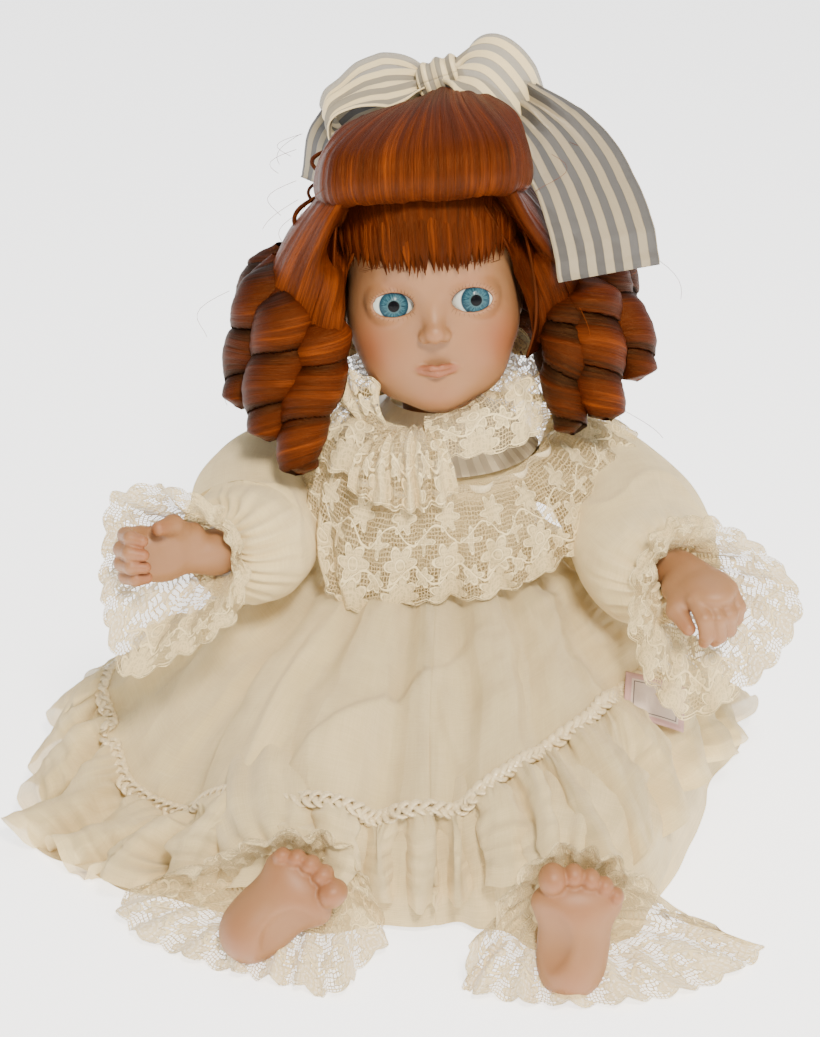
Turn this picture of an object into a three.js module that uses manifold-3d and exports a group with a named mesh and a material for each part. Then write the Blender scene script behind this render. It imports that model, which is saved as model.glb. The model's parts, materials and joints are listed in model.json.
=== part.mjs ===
// A seated porcelain doll: bisque head, shoulder plate, hands and feet on a stuffed cloth body,
// a wig with ringlets and a ribbon bow, and a long lace-trimmed gown over pantaloons.
// Millimetres, +Z up. The doll faces -Y and its own left is +X. The origin is the middle of the seat.
import * as THREE from "three";
import { mergeVertices } from "three/addons/utils/BufferGeometryUtils.js";
import Module from "manifold-3d";

// ---------------------------------------------------------------- driving dimensions
const GAP = 0.35; // between any two neighbouring pieces
const CLOTH = 2; // wall of a garment layer, with its gathers pressed flat
const BISQUE = 4; // wall of the porcelain castings
const ROUND = 14; // sides of a round piece
const FINE = 18; // sides of the head

const NECK = new THREE.Vector3(4, 4, 146); // the swivel's centre
const HEAD_PITCH = THREE.MathUtils.degToRad(-8); // the face looks a little up
const HEAD_ROLL = THREE.MathUtils.degToRad(-4); // and leans a little to the doll's right
const NECK_BALL = 17;
const RUNNING = 0.6; // clearance round the neck's ball
const SKULL = { centre: [0, -13, 85], size: [37, 46, 47] };
const JAW = { centre: [0, -19, 56], size: [30.5, 33, 39] };
const EYE = { across: 16.3, forward: -42, up: 67.3, radius: 11 };
const EYE_OPENING = { half_width: 8.6, half_height: 6.9 };
const CROWN_CUT = 116; // height of the crown opening above the neck
const HAIR = 4.5; // thickness of the wig's cap
const RINGLET_RADIUS = 12.2;

const CHEST = { centre: [0, 8, 56], size: [41, 31, 72] };
const CHEST_TOP = 95;
const PLATE = { centre: [0, 5, 112], size: [48, 29, 30] };
const PLATE_FLOOR = 98; // lower edge of the shoulder plate

const RIBBON_WIDTH = 46;
const RIBBON = 1.2; // thickness of a ribbon in its loops

// Each limb's landmarks, on its own side: SIDE multiplies x.
const SIDES = [
  {
    name: "left",
    side: 1,
    shoulder: [60, 2, 130],
    elbow: [76, -40, 110],
    wrist: [103, -84, 116],
    knuckles: [111, -107, 119],
    fingertips: [108, -117, 98],
    cuff_end: [124, -119, 100],
    sleeve_end: [94, -70, 113],
    palm: [0.35, 0.2, -0.9],
    hip: [27, -33, 25],
    ankle: [51, -186, 25],
    sole: [52, -214, 27],
    toes_up: [0.03, 0.05, 1],
    ruffle_end: [58, -214, 29.5],
  },
  {
    name: "right",
    side: -1,
    shoulder: [-60, 2, 130],
    elbow: [-72, -38, 112],
    wrist: [-93, -72, 121],
    knuckles: [-121, -87, 126],
    fingertips: [-134, -99, 128],
    cuff_end: [-131, -93, 111],
    sleeve_end: [-86, -62, 117.5],
    palm: [-0.25, -0.75, 0.6],
    hip: [-27, -33, 25],
    ankle: [-57, -170, 25],
    sole: [-62, -196, 27],
    toes_up: [0.78, 0.05, 0.62],
    ruffle_end: [-66, -197, 29.5],
  },
];

// ---------------------------------------------------------------- materials
const finish = (color, roughness, metalness = 0) =>
  new THREE.MeshStandardMaterial({ color, roughness, metalness });
const BISQUE_SKIN = finish(0xd9b393, 0.55);
const GLASS_EYE = finish(0x4f7c8c, 0.08);
const HAIR_FIBRE = finish(0x9a4a1c, 0.4);
const WIG_NET = finish(0x5a2c14, 0.8);
const SATIN_RIBBON = finish(0xe6dcc2, 0.3);
const MUSLIN = finish(0xe0d3b8, 0.9);
const VOILE = finish(0xe2d4b6, 0.85);
const LACE = finish(0xdccfa8, 0.9);
const BRAID = finish(0xf0e6cf, 0.45);
const STEEL = finish(0xa8a8a8, 0.35, 1);
const CARD = finish(0xdba6a6, 0.7);
const PATE_CORK = finish(0xb08a5e, 0.9);

// ---------------------------------------------------------------- shapes
const wasm = await Module();
wasm.setup();
const vector = (p) => new THREE.Vector3(...p);
const between = (a, b, t) => vector(a).lerp(vector(b), t).toArray();
const smooth = (t) => t * t * (3 - 2 * t);
const mix = THREE.MathUtils.lerp;
const PLUMB = new THREE.Vector3(0, 0, 1);

// A closed geometry as a manifold-3d solid.
function solid(geometry) {
  const bare = geometry.index ? geometry.toNonIndexed() : geometry;
  const position = new THREE.BufferGeometry().setAttribute("position", bare.getAttribute("position"));
  const merged = mergeVertices(position, 1e-3);
  return new wasm.Manifold(
    new wasm.Mesh({
      numProp: 3,
      vertProperties: merged.attributes.position.array,
      triVerts: new Uint32Array(merged.index.array),
    }),
  );
}

// A manifold-3d solid as a geometry. Loose slivers that a cut leaves beside it are dropped.
function geometryOf(made) {
  const bodies = made.decompose().sort((a, b) => b.volume() - a.volume());
  const mesh = bodies[0].getMesh();
  const points = new Float32Array(mesh.numVert * 3);
  for (let i = 0; i < mesh.numVert; i++)
    points.set(mesh.vertProperties.subarray(i * mesh.numProp, i * mesh.numProp + 3), i * 3);
  return new THREE.BufferGeometry()
    .setAttribute("position", new THREE.BufferAttribute(points, 3))
    .setIndex(new THREE.BufferAttribute(new Uint32Array(mesh.triVerts), 1));
}

function flipped(geometry) {
  const index = geometry.index.array;
  for (let i = 0; i < index.length; i += 3) [index[i + 1], index[i + 2]] = [index[i + 2], index[i + 1]];
  return geometry;
}

function ellipsoid({ centre, size }, grow = 0, across = ROUND, up = 8) {
  return new THREE.SphereGeometry(1, across, up)
    .rotateX(Math.PI / 2)
    .scale(size[0] + grow, size[1] + grow, size[2] + grow)
    .translate(...centre);
}

const ball = (centre, radius, across = 12, up = 8) =>
  ellipsoid({ centre, size: [radius, radius, radius] }, 0, across, up);

function box(low, high) {
  const size = vector(high).sub(vector(low));
  return new THREE.BoxGeometry(size.x, size.y, size.z).translate(...between(low, high, 0.5));
}

// Turns a shape made along +Y from the origin so that it runs from one point towards another, with its
// X axis kept level.
function along(geometry, from, to, wide = 1, deep = 1) {
  const direction = vector(to).sub(vector(from)).normalize();
  const level = direction.clone().cross(PLUMB);
  if (level.length() < 0.01) level.set(1, 0, 0);
  level.normalize();
  const turn = new THREE.Matrix4().makeBasis(level, direction, level.clone().cross(direction));
  return geometry.scale(wide, 1, deep).applyMatrix4(turn).translate(...from);
}

const grown = (stations, grow) => stations.map(([share, radius]) => [share, radius + grow]);

// A round bar from one point to another. stations are [share of the length, radius] pairs.
function limb(from, to, stations, sides = ROUND) {
  const length = vector(to).distanceTo(vector(from));
  const profile = stations.map(([share, radius]) => new THREE.Vector2(radius, share * length));
  const first = new THREE.Vector2(0, profile[0].y);
  const last = new THREE.Vector2(0, profile.at(-1).y);
  return along(new THREE.LatheGeometry([first, ...profile, last], sides), from, to);
}

// An open-ended cloth sleeve from one point to another, from the same kind of stations.
function tube(from, to, stations, { wall = CLOTH, wide = 1, deep = 1, sides = ROUND } = {}) {
  const length = vector(to).distanceTo(vector(from));
  const outer = stations.map(([share, radius]) => new THREE.Vector2(radius, share * length));
  const inner = grown(stations, -wall).map(([share, radius]) => new THREE.Vector2(radius, share * length));
  const profile = [...outer, ...inner.reverse(), outer[0]];
  return along(new THREE.LatheGeometry(profile, sides), from, to, wide, deep);
}

// A closed cloth shell round the Z axis. place(turn, share) gives [x, y, z] on its outer face: turn is
// 0 straight ahead and grows towards +X, and share runs from 0 at its upper edge to 1 at its hem.
function drape(place, { wall = CLOTH, sides = 24, steps = 3 } = {}) {
  const outer = Array.from({ length: steps + 1 }, (_, i) => ({ share: i / steps, inwards: 0 }));
  const inner = outer.map(({ share }) => ({ share, inwards: wall })).reverse();
  const rings = [...outer, ...inner];
  const profile = [...rings, rings[0]].map((_, i) => new THREE.Vector2(1, i));
  const geometry = new THREE.LatheGeometry(profile, sides);
  const position = geometry.getAttribute("position");
  for (let i = 0; i < position.count; i++) {
    const { share, inwards } = rings[Math.round(position.getY(i)) % rings.length];
    const turn = Math.atan2(position.getX(i), position.getZ(i));
    const [x, y, z] = place(turn, share);
    const shrink = 1 - inwards / Math.hypot(x, y);
    position.setXYZ(i, x * shrink, y * shrink, z - inwards * 0.5);
  }
  return solid(geometry).volume() < 0 ? flipped(geometry) : geometry;
}

// A ribbon on edge along a curve in the XZ plane, width wide along Y.
function ribbon(curve, width, steps = 14) {
  const centre = curve.getPoints(steps);
  const edge = (sign) =>
    centre.map((p, i) => {
      const before = centre[Math.max(i - 1, 0)];
      const after = centre[Math.min(i + 1, steps)];
      const run = after.clone().sub(before).normalize();
      const shift = (sign * RIBBON) / 2;
      return new THREE.Vector2(p.x - run.y * shift, p.y + run.x * shift);
    });
  const shape = new THREE.Shape([...edge(1), ...edge(-1).reverse()]);
  return new THREE.ExtrudeGeometry(shape, { depth: width, bevelEnabled: false })
    .rotateX(Math.PI / 2)
    .translate(0, width / 2, 0);
}

function piece(name, geometry, material) {
  const mesh = new THREE.Mesh(geometry, material);
  mesh.name = name;
  return mesh;
}

// ---------------------------------------------------------------- head, in the head's own frame
function headOuter() {
  const features = [
    ellipsoid(JAW, 0, FINE, 10),
    ball([0, -37, 28], 11), // chin
    ball([17, -34, 46], 15), // cheeks
    ball([-17, -34, 46], 15),
    ellipsoid({ centre: [0, -54, 54], size: [4.5, 5, 6] }, 0, 8, 6), // nose
    ellipsoid({ centre: [37, -8, 62], size: [4, 8, 12] }, 0, 8, 6), // ears
    ellipsoid({ centre: [-37, -8, 62], size: [4, 8, 12] }, 0, 8, 6),
    limb([0, 0, 6], [0, -4, 48], [[0, 15.5], [1, 17]]),
    ball([0, 0, 0], NECK_BALL, FINE, 12),
  ];
  return features.reduce((made, feature) => made.add(solid(feature)), solid(ellipsoid(SKULL, 0, FINE, 12)));
}

const above = (height) => solid(box([-60, -70, height], [60, 60, height + 60]));

function headShell(outer) {
  let shell = outer
    .subtract(solid(ellipsoid(SKULL, -BISQUE, FINE, 10)))
    .subtract(solid(ellipsoid(JAW, -BISQUE, FINE, 8)))
    .subtract(solid(limb([0, 0, -4], [0, -4, 48], [[0, 11.5], [1, 12.5]])))
    .subtract(solid(limb([0, 0, -30], [0, 0, 0], [[0, 6], [1, 6]], 12)))
    .subtract(above(CROWN_CUT));
  for (const { side } of SIDES) {
    const seat = [side * EYE.across, EYE.forward, EYE.up];
    const front = [side * EYE.across, EYE.forward - 30, EYE.up];
    const opening = new THREE.CylinderGeometry(1, 1, 30, 14).translate(0, 15, 0);
    const { half_width, half_height } = EYE_OPENING;
    shell = shell
      .subtract(solid(ball(seat, EYE.radius + GAP, 14, 10)))
      .subtract(solid(along(opening, front, seat, half_width, half_height)));
  }
  return geometryOf(shell);
}

// The pate closes the crown opening and carries the wig.
const crownPate = () =>
  geometryOf(solid(ellipsoid(SKULL, 0, FINE, 12)).intersect(above(CROWN_CUT + GAP)));

// ---------------------------------------------------------------- wig
const ROLL = { centre: [-1, -29, 126], size: [44, 23, 22] };
const FRINGE = { low: [-33, -72, 84], high: [33, -30, 128] };
const HAIR_BACK = { centre: [0, 26, 84], size: [41, 24, 46] };

function wigParts(outer, curls) {
  const overScalp = solid(ellipsoid(SKULL, HAIR + GAP, FINE, 12)).add(outer);
  const roll = solid(ellipsoid(ROLL, 0, 16, 10));
  const clearOfRoll = solid(ellipsoid(ROLL, GAP, 16, 10)).add(overScalp);
  const face = new THREE.BoxGeometry(120, 80, 120).rotateX(-0.55).translate(0, -72, 74);
  const fringe = solid(box(FRINGE.low, FRINGE.high));
  const byFringe = solid(box(between(FRINGE.low, FRINGE.high, -0.01), between(FRINGE.low, FRINGE.high, 1.01)));
  const scalp = solid(ellipsoid(SKULL, GAP, FINE, 12)).add(outer);
  const parts = {
    wig_cap: solid(ellipsoid(SKULL, HAIR, FINE, 12)).subtract(scalp).subtract(solid(face)).subtract(byFringe),
    hair_roll: roll.subtract(overScalp).subtract(byFringe),
    hair_fringe: solid(ellipsoid(SKULL, HAIR + 3, FINE, 12))
      .subtract(solid(ellipsoid(SKULL, 1.4, FINE, 12)))
      .intersect(fringe)
      .subtract(solid(ellipsoid(ROLL, GAP, 16, 10)))
      .subtract(solid(ellipsoid(JAW, 1, FINE, 10))),
    hair_back: solid(ellipsoid(HAIR_BACK, 0, 16, 10)).subtract(overScalp),
  };
  for (const { name, side } of SIDES) {
    const swath = limb([side * 37, -38, 108], [side * 47, -36, 66], [[0, 8], [0.5, 12], [1, 10]], 12);
    parts[`hair_side_${name}`] = solid(swath).subtract(clearOfRoll).subtract(byFringe);
  }
  for (const name of Object.keys(parts)) parts[name] = geometryOf(parts[name].subtract(curls));
  return parts;
}

// The ringlets' lower ends and tops on one side, outwards, back and up from the neck's centre.
const RINGLETS = [
  { out: 58, back: -46, low: 14, top: 66 },
  { out: 75, back: -27, low: 22, top: 73 },
  { out: 79, back: -1, low: 24, top: 76 },
  { out: 65, back: 22, low: 22, top: 78 },
];
const COILS = 4;

// One ringlet: a sausage curl, waisted between its coils. grow makes the space it keeps clear.
function ringlet(side, { out, back, low, top }, grow = 0) {
  const stations = [[0, 5 + grow]];
  for (let coil = 0; coil < COILS; coil++) {
    const radius = RINGLET_RADIUS * mix(0.82, 1, coil / (COILS - 1)) + grow;
    stations.push([(coil + 0.5) / COILS, radius]);
    stations.push([(coil + 1) / COILS, radius * (coil < COILS - 1 ? 0.88 : 0.5)]);
  }
  return limb([side * out, back, low], [side * out * 0.97, back, top], stations, 10);
}

// ---------------------------------------------------------------- bow, in the head's own frame
const KNOT = [9.8, -1, 156.5];
const LOOP = { left: { reach: 44, fall: 26 }, right: { reach: 48, fall: 14 } };

// A loop leaves the knot, folds over at its reach and comes back.
function loopCurve(side, { reach, fall }) {
  const at = (across, down) => new THREE.Vector2(side * across, -down);
  return new THREE.SplineCurve([
    at(9, 4),
    at(reach * 0.5, fall * 0.5 + 5),
    at(reach * 0.86, fall + 5),
    at(reach, fall * 0.8 - 5),
    at(reach * 0.8, fall * 0.35 - 9),
    at(reach * 0.4, -5),
    at(9, -3),
  ]);
}

function tailCurve(side, run, drop) {
  const at = (across, down) => new THREE.Vector2(side * across, -down);
  return new THREE.SplineCurve([at(0, 0), at(run * 0.5, drop * 0.2), at(run * 0.85, drop * 0.5), at(run, drop)]);
}

function bowParts() {
  const [x, y, z] = KNOT;
  return {
    bow_loop_left: ribbon(loopCurve(1, LOOP.left), RIBBON_WIDTH * 0.62).translate(x, y, z),
    bow_loop_right: ribbon(loopCurve(-1, LOOP.right), RIBBON_WIDTH * 0.6).translate(x, y, z),
    bow_tail_left: ribbon(tailCurve(1, 34, 60), RIBBON_WIDTH * 0.75).translate(x + 46, y + 4, z - 20),
    bow_tail_right: ribbon(tailCurve(-1, 5, 24), RIBBON_WIDTH * 0.5).translate(x - 51, y + 8, z - 13),
    bow_knot: ellipsoid({ centre: [x, y, z], size: [7.4, 12, 8.5] }, 0, 12, 8),
    bow_clip: box([x - 6, y - 5, z - 12], [x + 6, y + 5, z - 9.8]),
  };
}

// ---------------------------------------------------------------- cloth body and shoulder plate
function torsoSolid(grow = 0) {
  const keep = solid(box([-90, -90, -grow], [90, 90, CHEST_TOP + grow]));
  return solid(ellipsoid(CHEST, grow, FINE, 10)).intersect(keep);
}

function plateOuter(grow = 0) {
  const column = limb([0, 2, 118], NECK.toArray(), [[0, 25 + grow], [1, 21.5 + grow]], FINE);
  return solid(ellipsoid(PLATE, grow, FINE, 10))
    .add(solid(column))
    .intersect(solid(box([-90, -90, PLATE_FLOOR - grow], [90, 90, 170])));
}

function shoulderPlate() {
  const cup = solid(ball(NECK.toArray(), NECK_BALL + RUNNING + BISQUE, FINE, 12));
  const inside = solid(ellipsoid(PLATE, -BISQUE, FINE, 8)).subtract(cup);
  const socket = solid(ball(NECK.toArray(), NECK_BALL + RUNNING, FINE, 12));
  const bore = solid(limb([NECK.x, NECK.y, 90], NECK.toArray(), [[0, 5], [1, 5]], 12));
  return geometryOf(plateOuter().subtract(inside).subtract(socket).subtract(bore));
}

// The hook that holds the head, and the spring under the plate's cup that pulls it into the socket.
const HOOK = { low: -49, high: 2, washer: 9, shaft: 1.5, foot: 4, plate: 2 };

function neckHook() {
  const { low, high, washer, shaft, foot, plate } = HOOK;
  const share = plate / (high - low);
  const stations = [[0, foot], [share, foot], [share, shaft], [1 - share, shaft], [1 - share, washer], [1, washer]];
  return limb([0, 0, low], [0, 0, high], stations, 10);
}

const SPRING = { low: 100, high: 122.5, radius: 3.6, wire: 0.55, turns: 5, steps: 36 };

function neckSpring() {
  const { low, high, radius, wire, turns, steps } = SPRING;
  const coil = Array.from({ length: steps + 1 }, (_, i) => {
    const angle = (i / steps) * turns * 2 * Math.PI;
    return new THREE.Vector3(radius * Math.cos(angle), radius * Math.sin(angle), mix(low, high, i / steps));
  });
  const section = new THREE.Shape().absarc(0, 0, wire, 0, 2 * Math.PI);
  const extrudePath = new THREE.CatmullRomCurve3(coil);
  return new THREE.ExtrudeGeometry(section, { steps, curveSegments: 3, extrudePath }).translate(NECK.x, NECK.y, 0);
}

// ---------------------------------------------------------------- gown
const WAIST = { up: 92, front: 41, back: 40, side: 45 };
const HEM = { front: 186, back: 90, left: 138, right: 164, lap: 58, floor: 2.2 };
const BRAID_AT = 0.74; // share of the skirt's fall where the ruffle is sewn on

// Where the skirt lies, from the high waist (share 0) to the ruffle's hem (share 1).
function skirtPlace(turn, share, out = 0) {
  const ahead = Math.cos(turn);
  const across = Math.sin(turn);
  const fall = share ** 0.8;
  const reach = ahead > 0 ? mix(WAIST.front, HEM.front, share) : mix(WAIST.back, HEM.back, fall);
  const side = mix(WAIST.side, across > 0 ? HEM.left : HEM.right, fall);
  const overLegs = smooth(Math.max(0, ahead) ** 0.6);
  const low = mix(HEM.floor, HEM.lap, overLegs);
  const z = mix(WAIST.up, low, share ** (ahead > 0 ? 0.75 : 0.55));
  return [across * (side + out), -ahead * (reach + out) + 4, z + out * 0.8];
}

function gownParts() {
  const skirtBand = (from, to, out) => (turn, share) => skirtPlace(turn, mix(from, to, share), out);
  const ruffled = (turn, share) => {
    const [x, y, z] = skirtPlace(turn, mix(BRAID_AT + 0.02, 1, share));
    const flare = 1 + 0.04 * Math.cos(14 * turn) * share;
    return [x * flare, y * flare, z];
  };
  return {
    skirt: drape(skirtBand(0, BRAID_AT, 0), { sides: 28, steps: 4 }),
    petticoat: drape(skirtBand(0.12, 0.94, -CLOTH - 2.4), { wall: 1.5, sides: 24, steps: 3 }),
    hem_ruffle: drape(ruffled, { sides: 42, steps: 1 }),
    hem_braid: drape(skirtBand(BRAID_AT - 0.065, BRAID_AT - 0.005, CLOTH + 0.6), { wall: 1.4, steps: 1 }),
  };
}

// The bodice, from under the collar to the high waist.
const bodice = (grow = 0) => (turn, share) => {
  const side = mix(34, 50, share ** 0.6) + grow;
  return [Math.sin(turn) * side, -Math.cos(turn) * (mix(27, 36, share) + grow) + 6, mix(149, 95, share)];
};

// The wide lace collar: a bib over the chest, and a cape that lies over one sleeve's head.
const BERTHA = { left: 91, right: 51, front: 54, back: 47 };

function bertha(turn, share) {
  const ahead = Math.cos(turn);
  const across = Math.sin(turn);
  const side = mix(30, across > 0 ? BERTHA.left : BERTHA.right, share);
  const reach = mix(28, ahead > 0 ? BERTHA.front : BERTHA.back, share ** 0.7);
  const low = mix(across > 0 ? 138 : 142, ahead > 0 ? 91 : 108, Math.abs(ahead) ** 0.9);
  return [across * side, -ahead * reach + 4, mix(158, low, share ** 1.8)];
}

// The standing lace round the neck, open under the chin.
function neckRuffle(turn, share) {
  const high = 1 - share;
  const open = smooth(Math.max(0, Math.cos(turn)));
  const radius = mix(27, 42, high) - 5 * open * high;
  const z = mix(159.5, mix(178, 163, open), high);
  return [Math.sin(turn) * radius + 2, -Math.cos(turn) * radius + 4, z];
}

// The thin satin ribbon threaded round the top of the collar.
function collarRibbon(turn, share) {
  const [x, y, z] = bertha(turn, mix(0.3, 0.4, share));
  return [x * 1.06, y * 1.06, z + 1.2];
}

// ---------------------------------------------------------------- limbs
const SLEEVE = [[0, 13.8], [0.2, 21], [0.62, 27.5], [0.9, 21], [1, 15.5]];
const CUFF = [[0, 17], [0.35, 27], [1, 37]];
const PANTALOON = [[0.2, 21.5], [0.6, 23.6], [0.98, 17.5]];
const TIE = 1.5; // the wire ties that hold cloth limbs to porcelain ones

const upperArm = ({ shoulder, elbow }) =>
  solid(limb(shoulder, elbow, [[0, 8], [0.25, 11.4], [0.96, 10]])).add(solid(ball(shoulder, 10)));

// A porcelain forearm with its hand: a palm, four curled fingers and a thumb.
function forearm({ elbow, wrist, knuckles, fingertips, palm }) {
  const start = between(elbow, wrist, 0.05);
  const reach = vector(knuckles).sub(vector(wrist)).normalize();
  const face = vector(palm).addScaledVector(reach, -vector(palm).dot(reach)).normalize();
  const spread = reach.clone().cross(face);
  const heel = between(wrist, knuckles, 0.55);
  const parts = [ball(wrist, 8.6, 10, 6), along(ball([0, 0, 0], 1, 12, 8).scale(13.5, 17, 8), heel, knuckles)];
  for (let finger = 0; finger < 4; finger++) {
    const shift = spread.clone().multiplyScalar((finger - 1.5) * 6.4);
    const root = vector(knuckles).add(shift).addScaledVector(reach, -4).toArray();
    const tip = vector(fingertips).add(shift.multiplyScalar(0.85)).toArray();
    parts.push(limb(root, tip, [[-0.1, 3], [0.15, 4.6], [0.85, 4], [1, 2.2]], 7));
  }
  const thumb = vector(wrist).addScaledVector(reach, 8).addScaledVector(spread, 9).addScaledVector(face, 4);
  const thumbTip = thumb.clone().addScaledVector(reach, 15).addScaledVector(face, 4);
  parts.push(limb(thumb.toArray(), thumbTip.toArray(), [[0, 5], [0.8, 4.2], [1, 2.4]], 7));
  const bone = solid(limb(start, wrist, [[0, 9.6], [0.5, 11], [1, 8.4]]));
  return parts.reduce((made, part) => made.add(solid(part)), bone);
}

const upperLeg = ({ hip, ankle }) =>
  solid(limb(hip, between(hip, ankle, 0.5), [[0.08, 12], [0.35, 16.5], [0.97, 15]])).add(solid(ball(hip, 13.5)));

// A porcelain shin with its foot, sole forwards. grow makes the space it keeps clear.
function lowerLeg({ hip, ankle, sole, toes_up }, grow = 0) {
  const knee = between(hip, ankle, 0.515);
  const forward = vector(sole).sub(vector(ankle)).normalize();
  const up = vector(toes_up).normalize();
  const wide = forward.clone().cross(up).normalize();
  const at = (rise, across, ahead) =>
    vector(sole).addScaledVector(up, rise).addScaledVector(wide, across).addScaledVector(forward, ahead).toArray();
  const parts = [
    ball(ankle, 13 + grow, 10, 6),
    ball(at(-11, 0, -12.5), 11 + grow),
    limb(at(-10, 0, -12), at(9, 0, -10), grown([[0, 11], [1, 12.5]], grow), 10),
    ball(at(9, 5, -10), 10 + grow, 10, 6),
    ball(at(9, -5, -10), 10 + grow, 10, 6),
  ];
  for (let toe = 0; toe < 5; toe++)
    parts.push(ball(at(20 - 0.8 * toe, 12.5 - 6.2 * toe, -6), (toe ? 4.2 - 0.2 * toe : 5.2) + grow, 7, 5));
  const shin = solid(limb(knee, ankle, grown([[0, 15], [0.35, 15.5], [1, 12.5]], grow)));
  return parts.reduce((made, part) => made.add(solid(part)), shin);
}

// ---------------------------------------------------------------- assembly
const doll = new THREE.Group();
const head = new THREE.Group();
head.position.copy(NECK);
head.rotation.set(HEAD_PITCH, HEAD_ROLL, 0);
const hanging = new THREE.Group(); // the ringlets and the neck's hook hang plumb
hanging.position.copy(NECK);
doll.add(head, hanging);
doll.updateMatrixWorld(true);
const intoHead = head.matrixWorld.clone().invert().multiply(hanging.matrixWorld);

const skull = headOuter();
head.add(piece("head_shell", headShell(skull), BISQUE_SKIN));
head.add(piece("crown_pate", crownPate(), PATE_CORK));
let curls = solid(new THREE.BoxGeometry(1, 1, 1).translate(0, 0, -100)); // the space the ringlets keep clear
for (const { name, side } of SIDES) {
  head.add(piece(`eye_${name}`, ball([side * EYE.across, EYE.forward, EYE.up], EYE.radius, 14, 10), GLASS_EYE));
  RINGLETS.forEach((place, i) => {
    hanging.add(piece(`ringlet_${name}_${i + 1}`, ringlet(side, place), HAIR_FIBRE));
    curls = curls.add(solid(ringlet(side, place, GAP).applyMatrix4(intoHead)));
  });
}
for (const [name, made] of Object.entries(wigParts(skull, curls)))
  head.add(piece(name, made, name === "wig_cap" ? WIG_NET : HAIR_FIBRE));
for (const [name, made] of Object.entries(bowParts()))
  head.add(piece(name, made, name === "bow_clip" ? STEEL : SATIN_RIBBON));
hanging.add(piece("neck_hook", neckHook(), STEEL));

doll.add(piece("torso", geometryOf(torsoSolid()), MUSLIN));
doll.add(piece("shoulder_plate", shoulderPlate(), BISQUE_SKIN));
doll.add(piece("neck_spring", neckSpring(), STEEL));
const body = torsoSolid(GAP).add(plateOuter(GAP));
doll.add(piece("bodice", geometryOf(solid(drape(bodice(), { sides: 20 })).subtract(body)), VOILE));

let limbs = body; // the space that the collar and the skirts keep clear
for (const landmarks of SIDES) {
  const { name, shoulder, elbow, sleeve_end, cuff_end, hip, ankle, ruffle_end } = landmarks;
  const knee = between(hip, ankle, 0.5);
  const pantaloon = { wall: 1.5, wide: 1.12 };
  const flare = { wide: 1.9, sides: 18 };
  const cuffStart = between(sleeve_end, cuff_end, 0.02);
  const ruffleStart = between(ankle, ruffle_end, 0.14);
  const ruffle = [[0, 19.5], [0.22, 24.5], [1, 28.5]];
  const tie = (from, to, at, radius) =>
    tube(between(from, to, at), between(from, to, at + 0.05), [[0, radius], [1, radius]], { wall: TIE, sides: 10 });
  const arm = upperArm(landmarks);
  const leg = upperLeg(landmarks);
  const ankleRuffle = solid(tube(ruffleStart, ruffle_end, ruffle, flare)).subtract(lowerLeg(landmarks, GAP));
  const cuff = solid(tube(cuffStart, cuff_end, CUFF)).subtract(solid(tube(shoulder, sleeve_end, SLEEVE)));
  doll.add(
    piece(`upper_arm_${name}`, geometryOf(arm), MUSLIN),
    piece(`forearm_${name}`, geometryOf(forearm(landmarks).subtract(arm)), BISQUE_SKIN),
    piece(`arm_tie_${name}`, tie(shoulder, elbow, 0.84, 13.4), STEEL),
    piece(`sleeve_${name}`, tube(shoulder, sleeve_end, SLEEVE), VOILE),
    piece(`cuff_${name}`, geometryOf(cuff), LACE),
    piece(`upper_leg_${name}`, geometryOf(leg), MUSLIN),
    piece(`lower_leg_${name}`, geometryOf(lowerLeg(landmarks)), BISQUE_SKIN),
    piece(`leg_tie_${name}`, tie(hip, knee, 0.88, 18.3), STEEL),
    piece(`pantaloon_${name}`, tube(hip, ankle, PANTALOON, pantaloon), VOILE),
    piece(`ankle_ruffle_${name}`, geometryOf(ankleRuffle), LACE),
  );
  limbs = limbs
    .add(solid(limb(shoulder, sleeve_end, grown(SLEEVE, GAP))))
    .add(solid(limb(cuffStart, cuff_end, grown(CUFF, GAP))))
    .add(leg)
    .add(solid(limb(hip, ankle, grown(PANTALOON, 3))));
}

const clear = (place, options) => geometryOf(solid(drape(place, options)).subtract(limbs));
const gown = gownParts();
for (const [name, made] of Object.entries(gown))
  doll.add(piece(name, geometryOf(solid(made).subtract(limbs)), name === "hem_braid" ? BRAID : VOILE));
doll.add(piece("collar_bertha", clear(bertha), LACE));
doll.add(piece("collar_ribbon", clear(collarRibbon, { wall: 0.8, steps: 1 }), SATIN_RIBBON));
doll.add(piece("neck_ruffle", clear(neckRuffle, { sides: 20, steps: 2 }), LACE));
doll.add(piece("hang_tag", box([-14, -10, 0], [14, 10, 0.8]).rotateX(0.5).translate(102, -64, 69), CARD));

export default doll;
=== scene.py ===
"""A seated porcelain doll: bisque head, hands and feet, a ringlet wig with a ribbon bow, and a cream voile
and lace gown. Lengths inside the script are millimetres in the row frame; objects are made in metres."""
import json
import math

import bpy
import numpy as np
from mathutils import Matrix, Vector
from mathutils.bvhtree import BVHTree


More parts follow.
